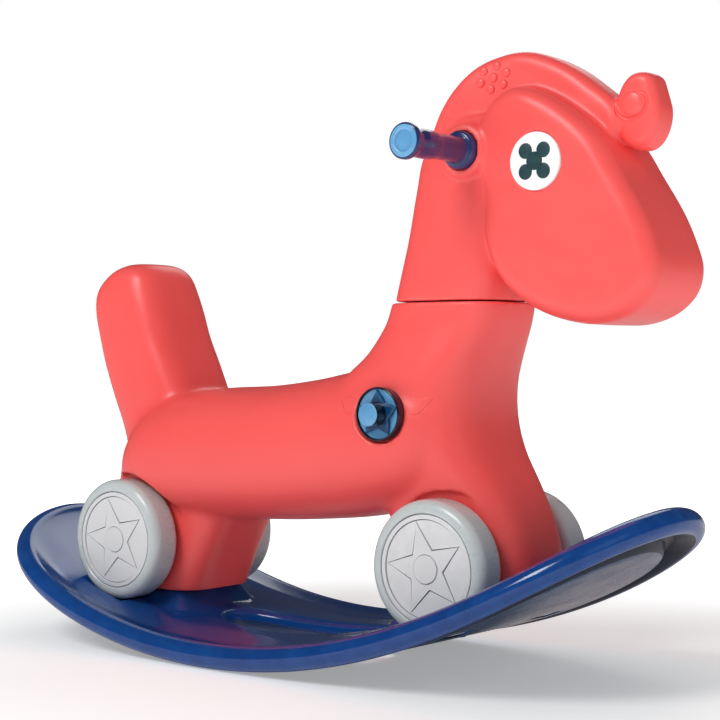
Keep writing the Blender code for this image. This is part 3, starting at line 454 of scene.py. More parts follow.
# stretch along x of the flat that each leg's sole stands on
seatSpans = [(-0.2240, -0.1560), (0.1130, 0.1560)]


def rimLine(x):
    q = x - tray["lowPointX"]
    a, b, c = tray["bend"]
    return a * q ** 2 + b * q ** 3 + c * q ** 4


def rimSlope(x):
    q = x - tray["lowPointX"]
    a, b, c = tray["bend"]
    return 2 * a * q + 3 * b * q ** 2 + 4 * c * q ** 3


def floorRise(x, y):
    fromSide = tray["halfWidth"] - abs(y)
    return tray["floorAtRim"] + (tray["floorInside"] - tray["floorAtRim"]) * ease((fromSide - 0.02) / 0.05)


def floorHeight(x, y=0.0):
    return rimLine(x) + floorRise(x, y)


def moundHeight(x, y):
    # the floor swells up to carry each leg's sole
    height = floorHeight(x, y)
    for low, high in seatSpans:
        off = math.hypot(max(low - x, x - high, 0.0), max(abs(y) - tray["seatHalfWidth"], 0.0))
        lift = tray["seatTop"] - height
        if lift > 0:
            height += lift * ease(1 - off / tray["seatSlope"])
    return height


def evenOutline(halfA, halfB, count):
    steps = 6000
    fine = [Vector(superellipse(2 * math.pi * i / steps, halfA, halfB, tray["sidePower"], tray["endPower"]))
            for i in range(steps + 1)]
    lengths = [0.0]
    for before, after in zip(fine, fine[1:]):
        lengths.append(lengths[-1] + (after - before).length)
    outline = []
    place = 0
    for index in range(count):
        target = lengths[-1] * (index + 0.5) / count
        while lengths[place + 1] < target:
            place += 1
        share = (target - lengths[place]) / (lengths[place + 1] - lengths[place])
        outline.append(fine[place].lerp(fine[place + 1], share))
    inward = []
    for index in range(count):
        along = (outline[(index + 1) % count] - outline[index - 1]).normalized()
        inward.append(Vector((-along.y, along.x)))
    return list(zip(outline, inward))


def quadratic(a, b, c, steps):
    return [a.lerp(b, i / steps).lerp(b.lerp(c, i / steps), i / steps) for i in range(steps + 1)]


def trayColumn(centre, inward, slot):
    # one section of the tray, from under the bead, over it, across the floor, down the slot and back below
    r = tray["bead"]
    slope = rimSlope(centre.x) * inward.x
    inward3 = Vector((inward.x, inward.y, slope)).normalized()
    up3 = Vector((-inward.x * slope, -inward.y * slope, 1)).normalized()
    middle = Vector((centre.x, centre.y, rimLine(centre.x) + r))

    def beadPoint(degrees):
        a = math.radians(degrees)
        return middle - inward3 * (r * math.cos(a)) + up3 * (r * math.sin(a))

    start = centre + inward * (r + 0.011)
    across = slot - start
    length = across.length
    direction = across / length

    def onFloor(distance, lowered=0.0):
        place = start + direction * distance
        return Vector((place.x, place.y, moundHeight(place.x, place.y) - lowered))

    def below(place, rise):
        return Vector((place.x, place.y, rimLine(place.x) + rise))

    lip = tray["lip"]
    bead = [beadPoint(-138 + 250 * i / 22) for i in range(23)]
    foot = onFloor(0.0)
    before = foot - Vector((direction.x, direction.y, rimSlope(foot.x) * direction.x)) * 0.008
    blend = quadratic(bead[-1], before, foot, 6)[1:]
    floor = [onFloor((length - 2 * lip) * i / 36) for i in range(1, 37)]
    edge = []
    for i in range(1, 9):
        a = math.pi / 2 * i / 8
        edge.append(onFloor(length - 2 * lip + 2 * lip * math.sin(a), lip * (1 - math.cos(a))))
    wall = []
    top = edge[-1].z
    turnIn = tray["turnIn"]
    bottom = rimLine(slot.x) + tray["panel"] + turnIn
    for share, out in ((0.42, 0.0), (0.50, 0.0014), (0.58, 0.0)):
        place = slot + direction * out
        wall.append(Vector((place.x, place.y, top + (bottom - top) * share)))
    lower = []
    for i in range(0, 5):
        a = math.pi / 2 * i / 4
        lower.append(below(slot - direction * turnIn * (1 - math.cos(a)),
                           tray["panel"] + turnIn * (1 - math.sin(a))))
    panelStart = slot - direction * turnIn
    panelEnd = centre + inward * (r + 0.0135)
    panel = []
    for i in range(1, 25):
        place = panelStart.lerp(panelEnd, i / 24)
        panel.append(below(place, tray["panel"]))
    channel = [below(centre + inward * (r + 0.0120), tray["panel"] + 0.0014),
               below(centre + inward * (r + 0.0115), tray["panel"] + 0.0040),
               below(centre + inward * (r + 0.0105), tray["panel"] + 0.0095),
               below(centre + inward * (r + 0.0030), tray["panel"] + 0.0100),
               below(centre + inward * (r + 0.0005), tray["panel"] + 0.0070)]
    return bead + blend + floor + edge + wall + lower + panel + channel


def post(radius, low, high, x, y=0.0, count=64):
    turns = [2 * math.pi * i / count for i in range(count)]
    return skin([[(x + radius * math.cos(a), y + radius * math.sin(a), z) for a in turns] for z in (low, high)])


def makeScrewBoss(board, end):
    # round boss under the tray, bored for the screw's head; the boss takes the darker painted-shade blue and
    # the bore the near-black painted shade
    middle = centreOf("tray_screw_" + end)
    half = halfOf("tray_screw_" + end)
    low = middle.z - half.z
    boss = post(half.x + screwBoss["wall"], low - screwBoss["cover"], low + screwBoss["height"],
                middle.x, middle.y)
    boolean(board, newObject("boss", boss, underShadePlastic), "UNION")
    bore = post(half.x + screwBoss["gap"], low - 0.02, low + screwBoss["head"], middle.x, middle.y)
    boolean(board, newObject("bore", bore, channelShadePlastic), "DIFFERENCE")


def makeTray():
    columns = []
    outline = evenOutline(tray["halfLength"], tray["halfWidth"], tray["stations"])
    for index, (centre, inward) in enumerate(outline):
        angle = 2 * math.pi * (index + 0.5) / tray["stations"]
        x, y = superellipse(angle, tray["slotHalfLength"], tray["slotHalfWidth"], 2.4)
        columns.append(trayColumn(centre, inward, Vector((x + tray["slotX"], y))))
    board = newObject("rocker_tray", skin([list(ring) for ring in zip(*columns)], capped=False),
                      bluePlastic, underShadePlastic, channelShadePlastic)
    # the last rings are the channel under the bead, and the ones before it the underside panel; the channel and
    # the bead's foot get a near-black painted shade, the panel a darker painted-shade blue
    rings = len(columns[0])
    for index, poly in enumerate(board.data.polygons):
        ring = index // tray["stations"]
        if ring >= rings - tray["channelRings"] or ring < tray["footRings"]:
            poly.material_index = 2
        elif ring >= rings - tray["underRings"]:
            poly.material_index = 1
    for end in ends:
        makeScrewBoss(board, end)
        for sideName, side in sides.items():
            tyre = centreOf("wheel_" + end + "_" + sideName)
            half = halfOf("wheel_" + end + "_" + sideName)
            gap = tray["wellGap"]
            well = rod(half.x + gap, abs(tyre.y) - half.y - gap, abs(tyre.y) + half.y + gap,
                       tyre.x, tyre.z, side, 128)
            boolean(board, newObject("well", well, bluePlastic), "DIFFERENCE")
    shade(board, 32)
    rides(board, "rocker", "rocker_blue", "rocker_board")
    print("stage: tray made,", len(board.data.polygons), "faces")


# ---- the horse's main forms

torsoForm = {
    "fuse": 0.0030, "softness": 20, "fine": 0.0019, "edgeSoftness": 4,
    "arch": 0.0058, "legHalfWidth": 0.0490, "pocketRadius": 0.0251, "soleRise": 0.0485, "soleClearance": 0.0018}

barrel = [
    (-0.2450, 0.1360, 0.1660, 0.0150, 2.4), (-0.2395, 0.1290, 0.1780, 0.0300, 2.6),
    (-0.2280, 0.1240, 0.1910, 0.0475, 2.6), (-0.2090, 0.1210, 0.2110, 0.0650, 2.6),
    (-0.1800, 0.1200, 0.2330, 0.0740, 2.6), (-0.1290, 0.1196, 0.2434, 0.0765, 2.6),
    (-0.0573, 0.1205, 0.2470, 0.0765, 2.6), (0.0034, 0.1242, 0.2539, 0.0775, 2.6),
    (0.0636, 0.1307, 0.2641, 0.0780, 2.6), (0.1132, 0.1428, 0.2642, 0.0775, 2.7),
    (0.1500, 0.1580, 0.2590, 0.0690, 2.7), (0.1720, 0.1750, 0.2500, 0.0500, 2.6)]

chest = [
    (0.0325, 0.1030, 0.2330, 0.0490, 4.0), (0.0897, 0.1030, 0.2360, 0.0490, 4.0),
    (0.1184, 0.0980, 0.2320, 0.0490, 4.0), (0.1423, 0.0880, 0.2230, 0.0515, 3.8),
    (0.1662, 0.0700, 0.2095, 0.0570, 3.6), (0.1901, 0.0506, 0.1940, 0.0645, 3.4),
    (0.2141, 0.0345, 0.1859, 0.0688, 3.2), (0.2381, 0.0305, 0.1849, 0.0678, 3.1),
    (0.2574, 0.0475, 0.1875, 0.0645, 3.1), (0.2738, 0.0680, 0.1925, 0.0597, 3.2),
    (0.2930, 0.0820, 0.2003, 0.0540, 3.3), (0.3084, 0.0900, 0.2055, 0.0511, 3.4),
    (0.3400, 0.0990, 0.2110, 0.0500, 3.4)]

hindLeg = [
    (0.0325, -0.2400, -0.1430, 0.0490, 4.2), (0.0744, -0.2460, -0.1225, 0.0490, 4.2),
    (0.1041, -0.2510, -0.1065, 0.0490, 4.2), (0.1338, -0.2510, -0.0910, 0.0510, 4.0),
    (0.1733, -0.2440, -0.0780, 0.0560, 3.4)]

tail = [
    (0.1680, -0.2390, -0.1450, 0.0430, 3.0), (0.2030, -0.2454, -0.1460, 0.0465, 3.2),
    (0.2340, -0.2583, -0.1520, 0.0475, 3.4), (0.2640, -0.2688, -0.1665, 0.0480, 3.6),
    (0.2940, -0.2773, -0.1819, 0.0480, 3.6), (0.3190, -0.2835, -0.1905, 0.0475, 3.6),
    (0.3390, -0.2830, -0.1980, 0.0460, 3.4), (0.3540, -0.2718, -0.2030, 0.0420, 3.0),
    (0.3630, -0.2590, -0.2108, 0.0355, 2.6), (0.3675, -0.2460, -0.2203, 0.0240, 2.2)]


def soleCutter():
    xs = [-0.36 + 0.72 * i / 120 for i in range(121)]
    top = [(x, max(torsoForm["soleRise"], floorHeight(x) + torsoForm["soleClearance"])) for x in xs]
    outline = top + [(0.36, -0.1), (-0.36, -0.1)]
    return skin([[(x, y, z) for x, z in outline] for y in (-0.2, 0.2)])


def slab(xLow, xHigh, zLow, zHigh):
    return skin([[(xLow, -0.2, z), (xHigh, -0.2, z), (xHigh, 0.2, z), (xLow, 0.2, z)] for z in (zLow, zHigh)])


# plain slanted tab outlined at both sides of the star knob
tab = {"near": 0.0262, "bottomFar": 0.0355, "topFar": 0.0465, "top": 0.0142, "line": 0.0009}


def sideSurface(tree, x, z, side):
    hit = tree.ray_cast(Vector((x, side * 0.3, z)), Vector((0, -side, 0)))
    return hit[0]


def wire(points, radii, count=10):
    # closed round rod through a row of points
    rings = []
    last = len(points) - 1
    for i, point in enumerate(points):
        along = (points[min(i + 1, last)] - points[max(i - 1, 0)]).normalized()
        across = along.orthogonal().normalized()
        if abs(along.y) < 0.9:
            across = (Vector((0, 1, 0)) - along * along.y).normalized()
        other = along.cross(across)
        rings.append([point + across * (radii[i] * math.cos(2 * math.pi * k / count))
                      + other * (radii[i] * math.sin(2 * math.pi * k / count)) for k in range(count)])
    return skin(rings)


def cutGrooves(obj, paths, radius, lift=0.0):
    # fine grooves pressed into a side, each following the surface
    tree = BVHTree.FromObject(obj, bpy.context.evaluated_depsgraph_get())
    for side in sides.values():
        for path in paths:
            points = []
            for (x0, z0), (x1, z1) in zip(path, path[1:]):
                steps = max(2, int(math.hypot(x1 - x0, z1 - z0) / 0.0012))
                points += [(x0 + (x1 - x0) * i / steps, z0 + (z1 - z0) * i / steps) for i in range(steps)]
            points.append(path[-1])
            placedPoints = [sideSurface(tree, x, z, side) + Vector((0, side * lift, 0)) for x, z in points]
            taper = [radius * (0.35 + 0.65 * ease(min(i, len(points) - 1 - i) / 4)) for i in range(len(points))]
            boolean(obj, newObject("groove", wire(placedPoints, taper)), "DIFFERENCE", "MANIFOLD")


def tabPaths():
    paths = []
    for way in (-1, 1):
        paths.append([(knobX + way * tab["near"], knobZ), (knobX + way * tab["bottomFar"], knobZ),
                      (knobX + way * tab["topFar"], knobZ + tab["top"])])
        paths.append([(knobX + way * (tab["near"] + 0.003), knobZ + tab["top"]),
                      (knobX + way * (tab["topFar"] - 0.006), knobZ + tab["top"])])
    return paths


def makeTorso():
    torso = joined("torso_shell", [loftAlong(barrel), loftUp(chest), loftUp(hindLeg), loftUp(tail)])
    fuse(torso, torsoForm["fuse"], torsoForm["softness"])
    boolean(torso, newObject("sole", soleCutter()), "DIFFERENCE", "MANIFOLD")
    cuts = [slab(0.05, 0.4, seamZ - seamGap / 2, 0.5)]
    for sideName, side in sides.items():
        cuts.append(rod(torsoForm["pocketRadius"], knobSeat, 0.12, knobX, knobZ, side))
        for end in ends:
            tyre = centreOf("wheel_" + end + "_" + sideName)
            radius = halfOf("wheel_" + end + "_" + sideName).x + torsoForm["arch"]
            cuts.append(rod(radius, torsoForm["legHalfWidth"], 0.15, tyre.x, tyre.z, side, 128))
    for cut in cuts:
        boolean(torso, newObject("cut", cut), "DIFFERENCE", "MANIFOLD")
    fuse(torso, torsoForm["fine"], torsoForm["edgeSoftness"])
    cutGrooves(torso, tabPaths(), tab["line"], 0.0002)
    refinish(torso, coralPlastic)
    shade(torso, 50)
    rides(torso, "horse", "coral_shell", "torso")
    print("stage: torso made,", len(torso.data.polygons), "faces")


headForm = {
    "fuse": 0.0017, "softness": 5, "fine": 0.0015, "edgeSoftness": 2,
    "faceRounding": 0.0150, "maneRounding": 0.0110, "curlRounding": 0.0080,
    "cheekHalfWidth": 0.0500, "muzzleHalfWidth": 0.0475}

neck = [
    (0.3000, 0.0940, 0.2040, 0.0500, 3.4), (0.3240, 0.0985, 0.2061, 0.0500, 3.4),
    (0.3438, 0.1033, 0.2104, 0.0492, 3.4), (0.3774, 0.1102, 0.2143, 0.0468, 3.2),
    (0.4157, 0.1156, 0.2202, 0.0439, 3.0), (0.4491, 0.1215, 0.2250, 0.0395, 2.8),
    (0.4777, 0.1430, 0.2299, 0.0300, 2.6)]

mane = [
    (0.1300, 0.4000), (0.1275, 0.4350), (0.1355, 0.4640), (0.1450, 0.4870), (0.1600, 0.5070),
    (0.1800, 0.5220), (0.2060, 0.5295), (0.2320, 0.5280), (0.2635, 0.5145), (0.2900, 0.4960),
    (0.3120, 0.4760), (0.3160, 0.4560), (0.2980, 0.4400), (0.2640, 0.4260), (0.2217, 0.3958),
    (0.1680, 0.3820)]

face = [
    (0.1978, 0.4079), (0.1890, 0.4349), (0.1890, 0.4636), (0.2056, 0.4882), (0.2299, 0.4965),
    (0.2560, 0.4890), (0.2830, 0.4720), (0.3070, 0.4504), (0.3258, 0.4217), (0.3448, 0.3912),
    (0.3568, 0.3645), (0.3620, 0.3440), (0.3560, 0.3230), (0.3370, 0.3070), (0.3100, 0.2994),
    (0.2831, 0.3013), (0.2541, 0.3100), (0.2280, 0.3254), (0.2104, 0.3465), (0.2007, 0.3753)]

curl = {"x": 0.3280, "z": 0.4705, "wide": 0.0205, "tall": 0.0312, "halfWidth": 0.0158,
        "cornerAt": 52, "flatTo": 4, "domeX": 0.3247, "domeZ": 0.4759, "dome": 0.0098, "domeRise": 0.0026}
# the groove winds round the dome: (degrees from the back, distance from the dome's middle, radius)
curlGroove = [(0, 0.0150, 0.0010), (25, 0.0146, 0.0018), (60, 0.0132, 0.0021), (100, 0.0121, 0.0021),
              (150, 0.0130, 0.0021), (190, 0.0136, 0.0019), (225, 0.0118, 0.0014), (255, 0.0086, 0.0006)]

flower = {"x": 0.1975, "z": 0.5085, "ring": 0.0098, "petal": 0.0041, "petals": 6, "rise": 0.0021}
dashes = [[(0.1500, 0.4790), (0.1590, 0.4765)], [(0.1460, 0.4690), (0.1550, 0.4668)]]


def maneWidth(point):
    x = point.x
    if x < 0.20:
        return 0.0220 + 0.0150 * (0.20 - x) / 0.08
    return max(0.0188, 0.0220 - 0.0040 * (x - 0.20) / 0.11)


def faceWidth(point):
    # the cheek's upper back melts into the neck
    share = min(1.0, max(0.0, (point.x - 0.20) / 0.16))
    width = headForm["cheekHalfWidth"] + (headForm["muzzleHalfWidth"] - headForm["cheekHalfWidth"]) * share
    return width - 0.0052 * ease((point.y - 0.365) / 0.06) * ease((0.250 - point.x) / 0.055)


def curlOutline():
    # a tall round roll whose upper front is a short straight cut with a corner
    points = []
    first = math.radians(curl["cornerAt"])
    last = math.radians(curl["flatTo"])
    cornerPoint = Vector((1.06 * math.cos(first), 1.06 * math.sin(first)))
    endPoint = Vector((math.cos(last), math.sin(last)))
    for i in range(72):
        a = 2 * math.pi * i / 72
        point = Vector((math.cos(a), math.sin(a)))
        if last < a < first:
            point = endPoint.lerp(cornerPoint, (a - last) / (first - last))
        elif first <= a < first + 0.7:
            point *= 1.06 - 0.06 * ease((a - first) / 0.7)
        points.append(Vector((curl["x"] + curl["wide"] * point.x, curl["z"] + curl["tall"] * point.y)))
    return points


def curlGroovePoints(side):
    points = []
    radii = []
    for around, distance, radius in smoothStations(curlGroove, 8):
        a = math.radians(180 + around)
        points.append(Vector((curl["domeX"] + distance * math.cos(a), side * (curl["halfWidth"] + 0.0002),
                              curl["domeZ"] + distance * math.sin(a))))
        radii.append(radius)
    return wire(points, radii, 16)


def button(at, radius, rise):
    # low round dome
    bm = bmesh.new()
    bmesh.ops.create_uvsphere(bm, u_segments=32, v_segments=20, radius=1.0)
    bmesh.ops.scale(bm, verts=bm.verts, vec=(radius, rise, radius))
    bmesh.ops.translate(bm, verts=bm.verts, vec=at)
    return bm


def addReliefs(head):
    for side in sides.values():
        dome = button((curl["domeX"], side * (curl["halfWidth"] - 0.0004), curl["domeZ"]), curl["dome"],
                      curl["domeRise"])
        boolean(head, newObject("dome", dome), "UNION", "MANIFOLD")
        boolean(head, newObject("groove", curlGroovePoints(side)), "DIFFERENCE", "MANIFOLD")
    tree = BVHTree.FromObject(head, bpy.context.evaluated_depsgraph_get())
    for side in sides.values():
        for i in range(flower["petals"] + 1):
            a = 2 * math.pi * i / flower["petals"] + 0.35
            reach = flower["ring"] if i < flower["petals"] else 0.0
            x = flower["x"] + reach * 1.30 * math.cos(a)
            z = flower["z"] + reach * math.sin(a)
            boolean(head, newObject("petal", button(sideSurface(tree, x, z, side), flower["petal"],
                                                    flower["rise"])), "UNION", "MANIFOLD")
    cutGrooves(head, dashes, 0.0008)


def ringBoss(side):
    # raised ring that the grip's collar sits in
    rise = gripSeat
    profile = [(ringRadius, 0.020), (ringRadius, rise - 0.006)] \
        + corner(ringRadius - 0.0045, rise - 0.0045, 0.0045, 20, 90) + [(0.012, rise)]
    return placed(turned(profile), barX, barZ, side)


def makeHead():
    forms = [loftUp(neck),
             pillow(closedCurve(face, 8), faceWidth, headForm["faceRounding"]),
             pillow(closedCurve(mane, 8), maneWidth, headForm["maneRounding"]),
             pillow(curlOutline(), lambda point: curl["halfWidth"], headForm["curlRounding"])]
    forms += [ringBoss(side) for side in sides.values()]
    head = joined("head_shell", forms)
    fuse(head, headForm["fuse"], headForm["softness"])
    # flat underside of the neck; the chin hangs lower, so the cut stops behind it
    cuts = [slab(0.05, 0.2085, 0.25, seamZ + seamGap / 2)]
    for side in sides.values():
        cuts.append(rod(eyeRadius + 0.0006, eyeSeat, 0.09, eyeX, eyeZ, side))
        cuts.append(rod(collarRadius + 0.0008, gripSeat - 0.0040, 0.09, barX, barZ, side))
    for cut in cuts:
        boolean(head, newObject("cut", cut), "DIFFERENCE", "MANIFOLD")
    fuse(head, headForm["fine"], headForm["edgeSoftness"])
    addReliefs(head)
    refinish(head, coralPlastic)
    shade(head, 50)
    rides(head, "horse", "coral_shell", "head")
    print("stage: head made,", len(head.data.polygons), "faces")


# ---- fittings, all placed from the frame

seamZ = max(v.co.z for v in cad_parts["torso"].data.vertices if v.co.x > 0.05)
barX = centreOf("handlebar_rod").x
barZ = centreOf("handlebar_rod").z
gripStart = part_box("grip_left")[0].y
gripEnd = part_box("grip_left")[1].y
collarRadius = halfOf("grip_left").x
gripSeat = gripStart + 0.0040
ringRadius = collarRadius + 0.0071
eyeX = centreOf("eye_left").x
eyeZ = centreOf("eye_left").z
eyeRadius = halfOf("eye_left").x
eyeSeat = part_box("eye_left")[0].y
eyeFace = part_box("eye_left")[1].y
knobX = centreOf("star_knob_left").x
knobZ = centreOf("star_knob_left").z
knobRadius = halfOf("star_knob_left").x
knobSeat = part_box("star_knob_left")[0].y
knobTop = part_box("star_knob_left")[1].y

grip = {"barRadius": 0.0108, "swell": 0.0013, "flange": 0.0150, "face": 0.0134, "dish": 0.0082}


def gripProfile():
    foot = gripStart + 0.0003
    hole = 0.0064
    out = [(hole, foot), (collarRadius - 0.0002, foot), (collarRadius - 0.0002, foot + 0.0060)]
    out += corner(collarRadius - 0.0032, foot + 0.0065, 0.0030, 10, 90)
    out += [(grip["barRadius"] + 0.0030, foot + 0.0100), (grip["barRadius"] + 0.0010, foot + 0.0112),
            (grip["barRadius"], foot + 0.0145)]
    length = gripEnd - 0.016 - foot - 0.018
    for i in range(14):
        share = i / 13
        swell = grip["swell"] * ease((share - 0.42) / 0.22) * ease((1.0 - share) / 0.10)
        out.append((grip["barRadius"] + swell, foot + 0.018 + length * share))
    out += [(grip["barRadius"] + 0.0002, gripEnd - 0.0125), (grip["barRadius"] + 0.0016, gripEnd - 0.0085),
            (grip["flange"] - 0.0010, gripEnd - 0.0064)]
    out += corner(grip["flange"] - 0.0016, gripEnd - 0.0048, 0.0016, -60, 0, 4)
    out += corner(grip["flange"] - 0.0016, gripEnd - 0.0020, 0.0016, 0, 90, 6)
    out += [(grip["face"] + 0.0002, gripEnd - 0.0004), (grip["face"] + 0.0002, gripEnd - 0.0030),
            (hole, gripEnd - 0.0030)]
    return out


def makeGrips():
    dish = grip["dish"]
    disc = [(grip["face"], gripEnd - 0.0028)]
    disc += corner(grip["face"] - 0.0008, gripEnd - 0.0008, 0.0008, 0, 90, 4)
    disc += [(dish + 0.0014, gripEnd - 0.0001), (dish + 0.0006, gripEnd - 0.0006), (dish, gripEnd - 0.0016),
             (dish - 0.0016, gripEnd - 0.0018), (dish * 0.55, gripEnd - 0.0012), (0.0006, gripEnd - 0.0010)]
    for sideName, side in sides.items():
        bar = newObject("hand_grip_" + sideName, placed(turned(gripProfile(), closed=True), barX, barZ, side),
                        gripPlastic)
        rides(shade(bar, 40), "horse", "grip_blue", "grip_" + sideName)
        end = newObject("grip_end_disc_" + sideName, placed(turned(disc), barX, barZ, side), skyPlastic)
        rides(shade(end, 50), "horse", "cap_blue", "grip_cap_" + sideName)
    print("stage: grips made")


clover = {"leaf": 0.0064, "reach": 0.0120, "middle": 0.0076, "thickness": 0.0003}


def cloverForm(base):
    # four round leaves round a small middle, standing just proud of the eye
    forms = []
    for i in range(5):
        a = math.radians(45 + 90 * i)
        reach = clover["reach"] if i < 4 else 0.0
        radius = clover["leaf"] if i < 4 else clover["middle"]
        profile = [(radius, base - 0.0004), (radius, base + clover["thickness"] * 0.6),
                   (radius - 0.0003, base + clover["thickness"])]
        form = turned(profile, 48)
        bmesh.ops.translate(form, verts=form.verts, vec=(reach * math.cos(a), 0, reach * math.sin(a)))
        forms.append(form)
    first = newObject("clover", forms[0])
    for form in forms[1:]:
        boolean(first, newObject("leaf", form), "UNION")
    return first


def makeEyes():
    for sideName, side in sides.items():
        profile = [(eyeRadius - 0.0002, eyeSeat + 0.0002), (eyeRadius - 0.0002, eyeFace - 0.0012)]
        profile += corner(eyeRadius - 0.0012, eyeFace - 0.0010, 0.0010, 10, 90, 5)
        profile += [(eyeRadius * 0.6, eyeFace + 0.0002), (eyeRadius * 0.2, eyeFace + 0.0003)]
        disc = newObject("eye_disc_" + sideName, placed(turned(profile), eyeX, eyeZ, side), eyePlastic)
        rides(shade(disc, 45), "horse", "eye_white", "eye_" + sideName)
        mark = cloverForm(eyeFace + 0.0002)
        mark.name = "eye_clover_" + sideName
        moveMesh(mark, eyeX, eyeZ, side)
        refinish(mark, cloverPrint)
        shade(mark, 40)
        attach(mark, "horse")
    print("stage: eyes made")


knob = {"tip": 0.0214, "notch": 0.0128, "boss": 0.0101, "bossRise": 0.0125}


def starForm(tip, notch, yStart, yEnd, slope, turn=90):
    points = 5
    rings = []
    for y, shrink in ((yStart, 0.0), (yEnd - slope * 0.35, slope * 0.5), (yEnd, slope)):
        ring = []
        for i in range(2 * points):
            radius = (tip if i % 2 == 0 else notch) - shrink
            a = math.radians(turn + 180 * i / points)
            ring.append((radius * math.cos(a), y, radius * math.sin(a)))
        rings.append(ring)
    return skin(rings)


def makeKnobs():
    base = knobSeat
    starTop = knobTop - knob["bossRise"]
    for sideName, side in sides.items():
        profile = [(knobRadius - 0.0004, base), (knobRadius - 0.0004, starTop - 0.0022)]
        profile += corner(knobRadius - 0.0016, starTop - 0.0016, 0.0012, 0, 110, 6)
        profile += [(knobRadius - 0.0026, starTop - 0.0022), (knobRadius * 0.62, starTop - 0.0042)]
        disc = newObject("knob", turned(profile), knobPlastic)
        star = starForm(knob["tip"], knob["notch"], base + 0.001, starTop + 0.0002, 0.0016)
        boolean(disc, newObject("star", star), "UNION")
        pin = [(knob["boss"] + 0.0006, base + 0.001), (knob["boss"], knobTop - 0.0012)]
        pin += corner(knob["boss"] - 0.0010, knobTop - 0.0010, 0.0010, 10, 90, 4)
        boolean(disc, newObject("boss", turned(pin, 64)), "UNION")
        refinish(disc, knobPlastic, skyPlastic, knobShadePlastic)
        # the rim ring and the boss's sides get a near-black painted shade for the gap shadow round the knob
        for poly in disc.data.polygons:
            radius = math.hypot(poly.center.x, poly.center.z)
            y = poly.center.y
            if y > knobTop - 0.0004 and radius < knob["boss"]:
                poly.material_index = 1
            elif y > starTop + 0.0006 or radius > knobRadius - 0.0024:
                poly.material_index = 2
            elif radius > knob["boss"] and y < starTop - 0.0015 and poly.normal.y > 0.8:
                poly.material_index = 1
        moveMesh(disc, knobX, knobZ, side)
        disc.name = "star_knob_turned_" + sideName
        rides(shade(disc, 30), "knob_" + sideName, "knob_blue", "star_knob_" + sideName)
    print("stage: knobs made")


# ---- wheels

wheel = {"shoulder": 0.0086, "hub": 0.0140, "web": 0.015, "webThickness": 0.004,
         "cap": 0.0455, "capGap": 0.0007, "ring": 0.0040, "lineWidth": 0.0006,
         "starTip": 0.0392, "starNotch": 0.0172, "starRise": 0.0008, "hubRadius": 0.0120, "starTurn": 104,
         "bore": 0.0053, "capSeat": 0.0052, "capDepth": 0.0048, "capSunk": 0.0016}


def wheelProfile(radius, width):
    s = wheel["shoulder"]
    w = wheel["web"]
    seat = width - wheel["capSeat"]
    rim = radius - s - 0.0004
    out = [(wheel["bore"], 0.0), (wheel["hub"], 0.0), (wheel["hub"] + 0.001, w), (radius - 0.015, w),
           (radius - 0.0135, 0.0008), (radius - 0.0128, 0.0), (rim, 0.0)]
    out += corner(radius - s, s, s, -90, 0, 10)[1:]
    out += corner(radius - s, width - s, s, 0, 90, 10)
    out += [(wheel["cap"] + wheel["capGap"] + 0.0008, width), (wheel["cap"] + wheel["capGap"], width - 0.0007),
            (wheel["cap"] + wheel["capGap"], seat), (wheel["cap"] - 0.004, seat),
            (wheel["cap"] - 0.005, w + wheel["webThickness"]), (wheel["bore"], w + wheel["webThickness"])]
    return out


def capForm(width):
    # painted cap: rim ring, a dark line of painted shade in its groove, face with a raised star and a round
    # button, each in a fine groove
    back = width - wheel["capDepth"]
    front = width - wheel["capSunk"]
    ringTop = width - 0.0004
    inner = wheel["cap"] - wheel["ring"]
    profile = [(wheel["cap"], back), (wheel["cap"], ringTop - 0.0006)]
    profile += corner(wheel["cap"] - 0.0007, ringTop - 0.0007, 0.0007, 0, 90, 4)
    profile += [(inner + 0.0003, ringTop), (inner, ringTop - 0.0003), (inner, front - 0.0006),
                (inner - wheel["lineWidth"], front - 0.0006), (inner - wheel["lineWidth"], front),
                (wheel["starTip"] * 0.5, front + 0.0001)]
    cap = newObject("cap", turned(profile))
    moat = starForm(wheel["starTip"] + 0.0009, wheel["starNotch"] + 0.0009, front - 0.0007, front + 0.003, 0.0,
                    wheel["starTurn"])
    boolean(cap, newObject("moat", moat), "DIFFERENCE")
    star = starForm(wheel["starTip"], wheel["starNotch"], back + 0.001, front + wheel["starRise"], 0.0006,
                    wheel["starTurn"])
    boolean(cap, newObject("star", star), "UNION")
    r = wheel["hubRadius"]
    boolean(cap, newObject("moat", turned([(r + 0.0005, front - 0.0003), (r + 0.0005, front + 0.004)], 64)),
            "DIFFERENCE")
    centreDisc = [(r, back + 0.001), (r, front + 0.0010)]
    centreDisc += corner(r - 0.0008, front + 0.0010, 0.0008, 10, 90, 4)
    boolean(cap, newObject("button", turned(centreDisc, 64)), "UNION")
    refinish(cap, capPlastic, capGrooveShade)
    # groove floors get the dark painted shade
    for poly in cap.data.polygons:
        radius = math.hypot(poly.center.x, poly.center.z)
        inGroove = poly.center.y < front - 0.00025 and radius < inner + 0.0002
        poly.material_index = 1 if inGroove and poly.center.y > back + 0.0005 and poly.normal.y > 0.5 else 0
    return cap


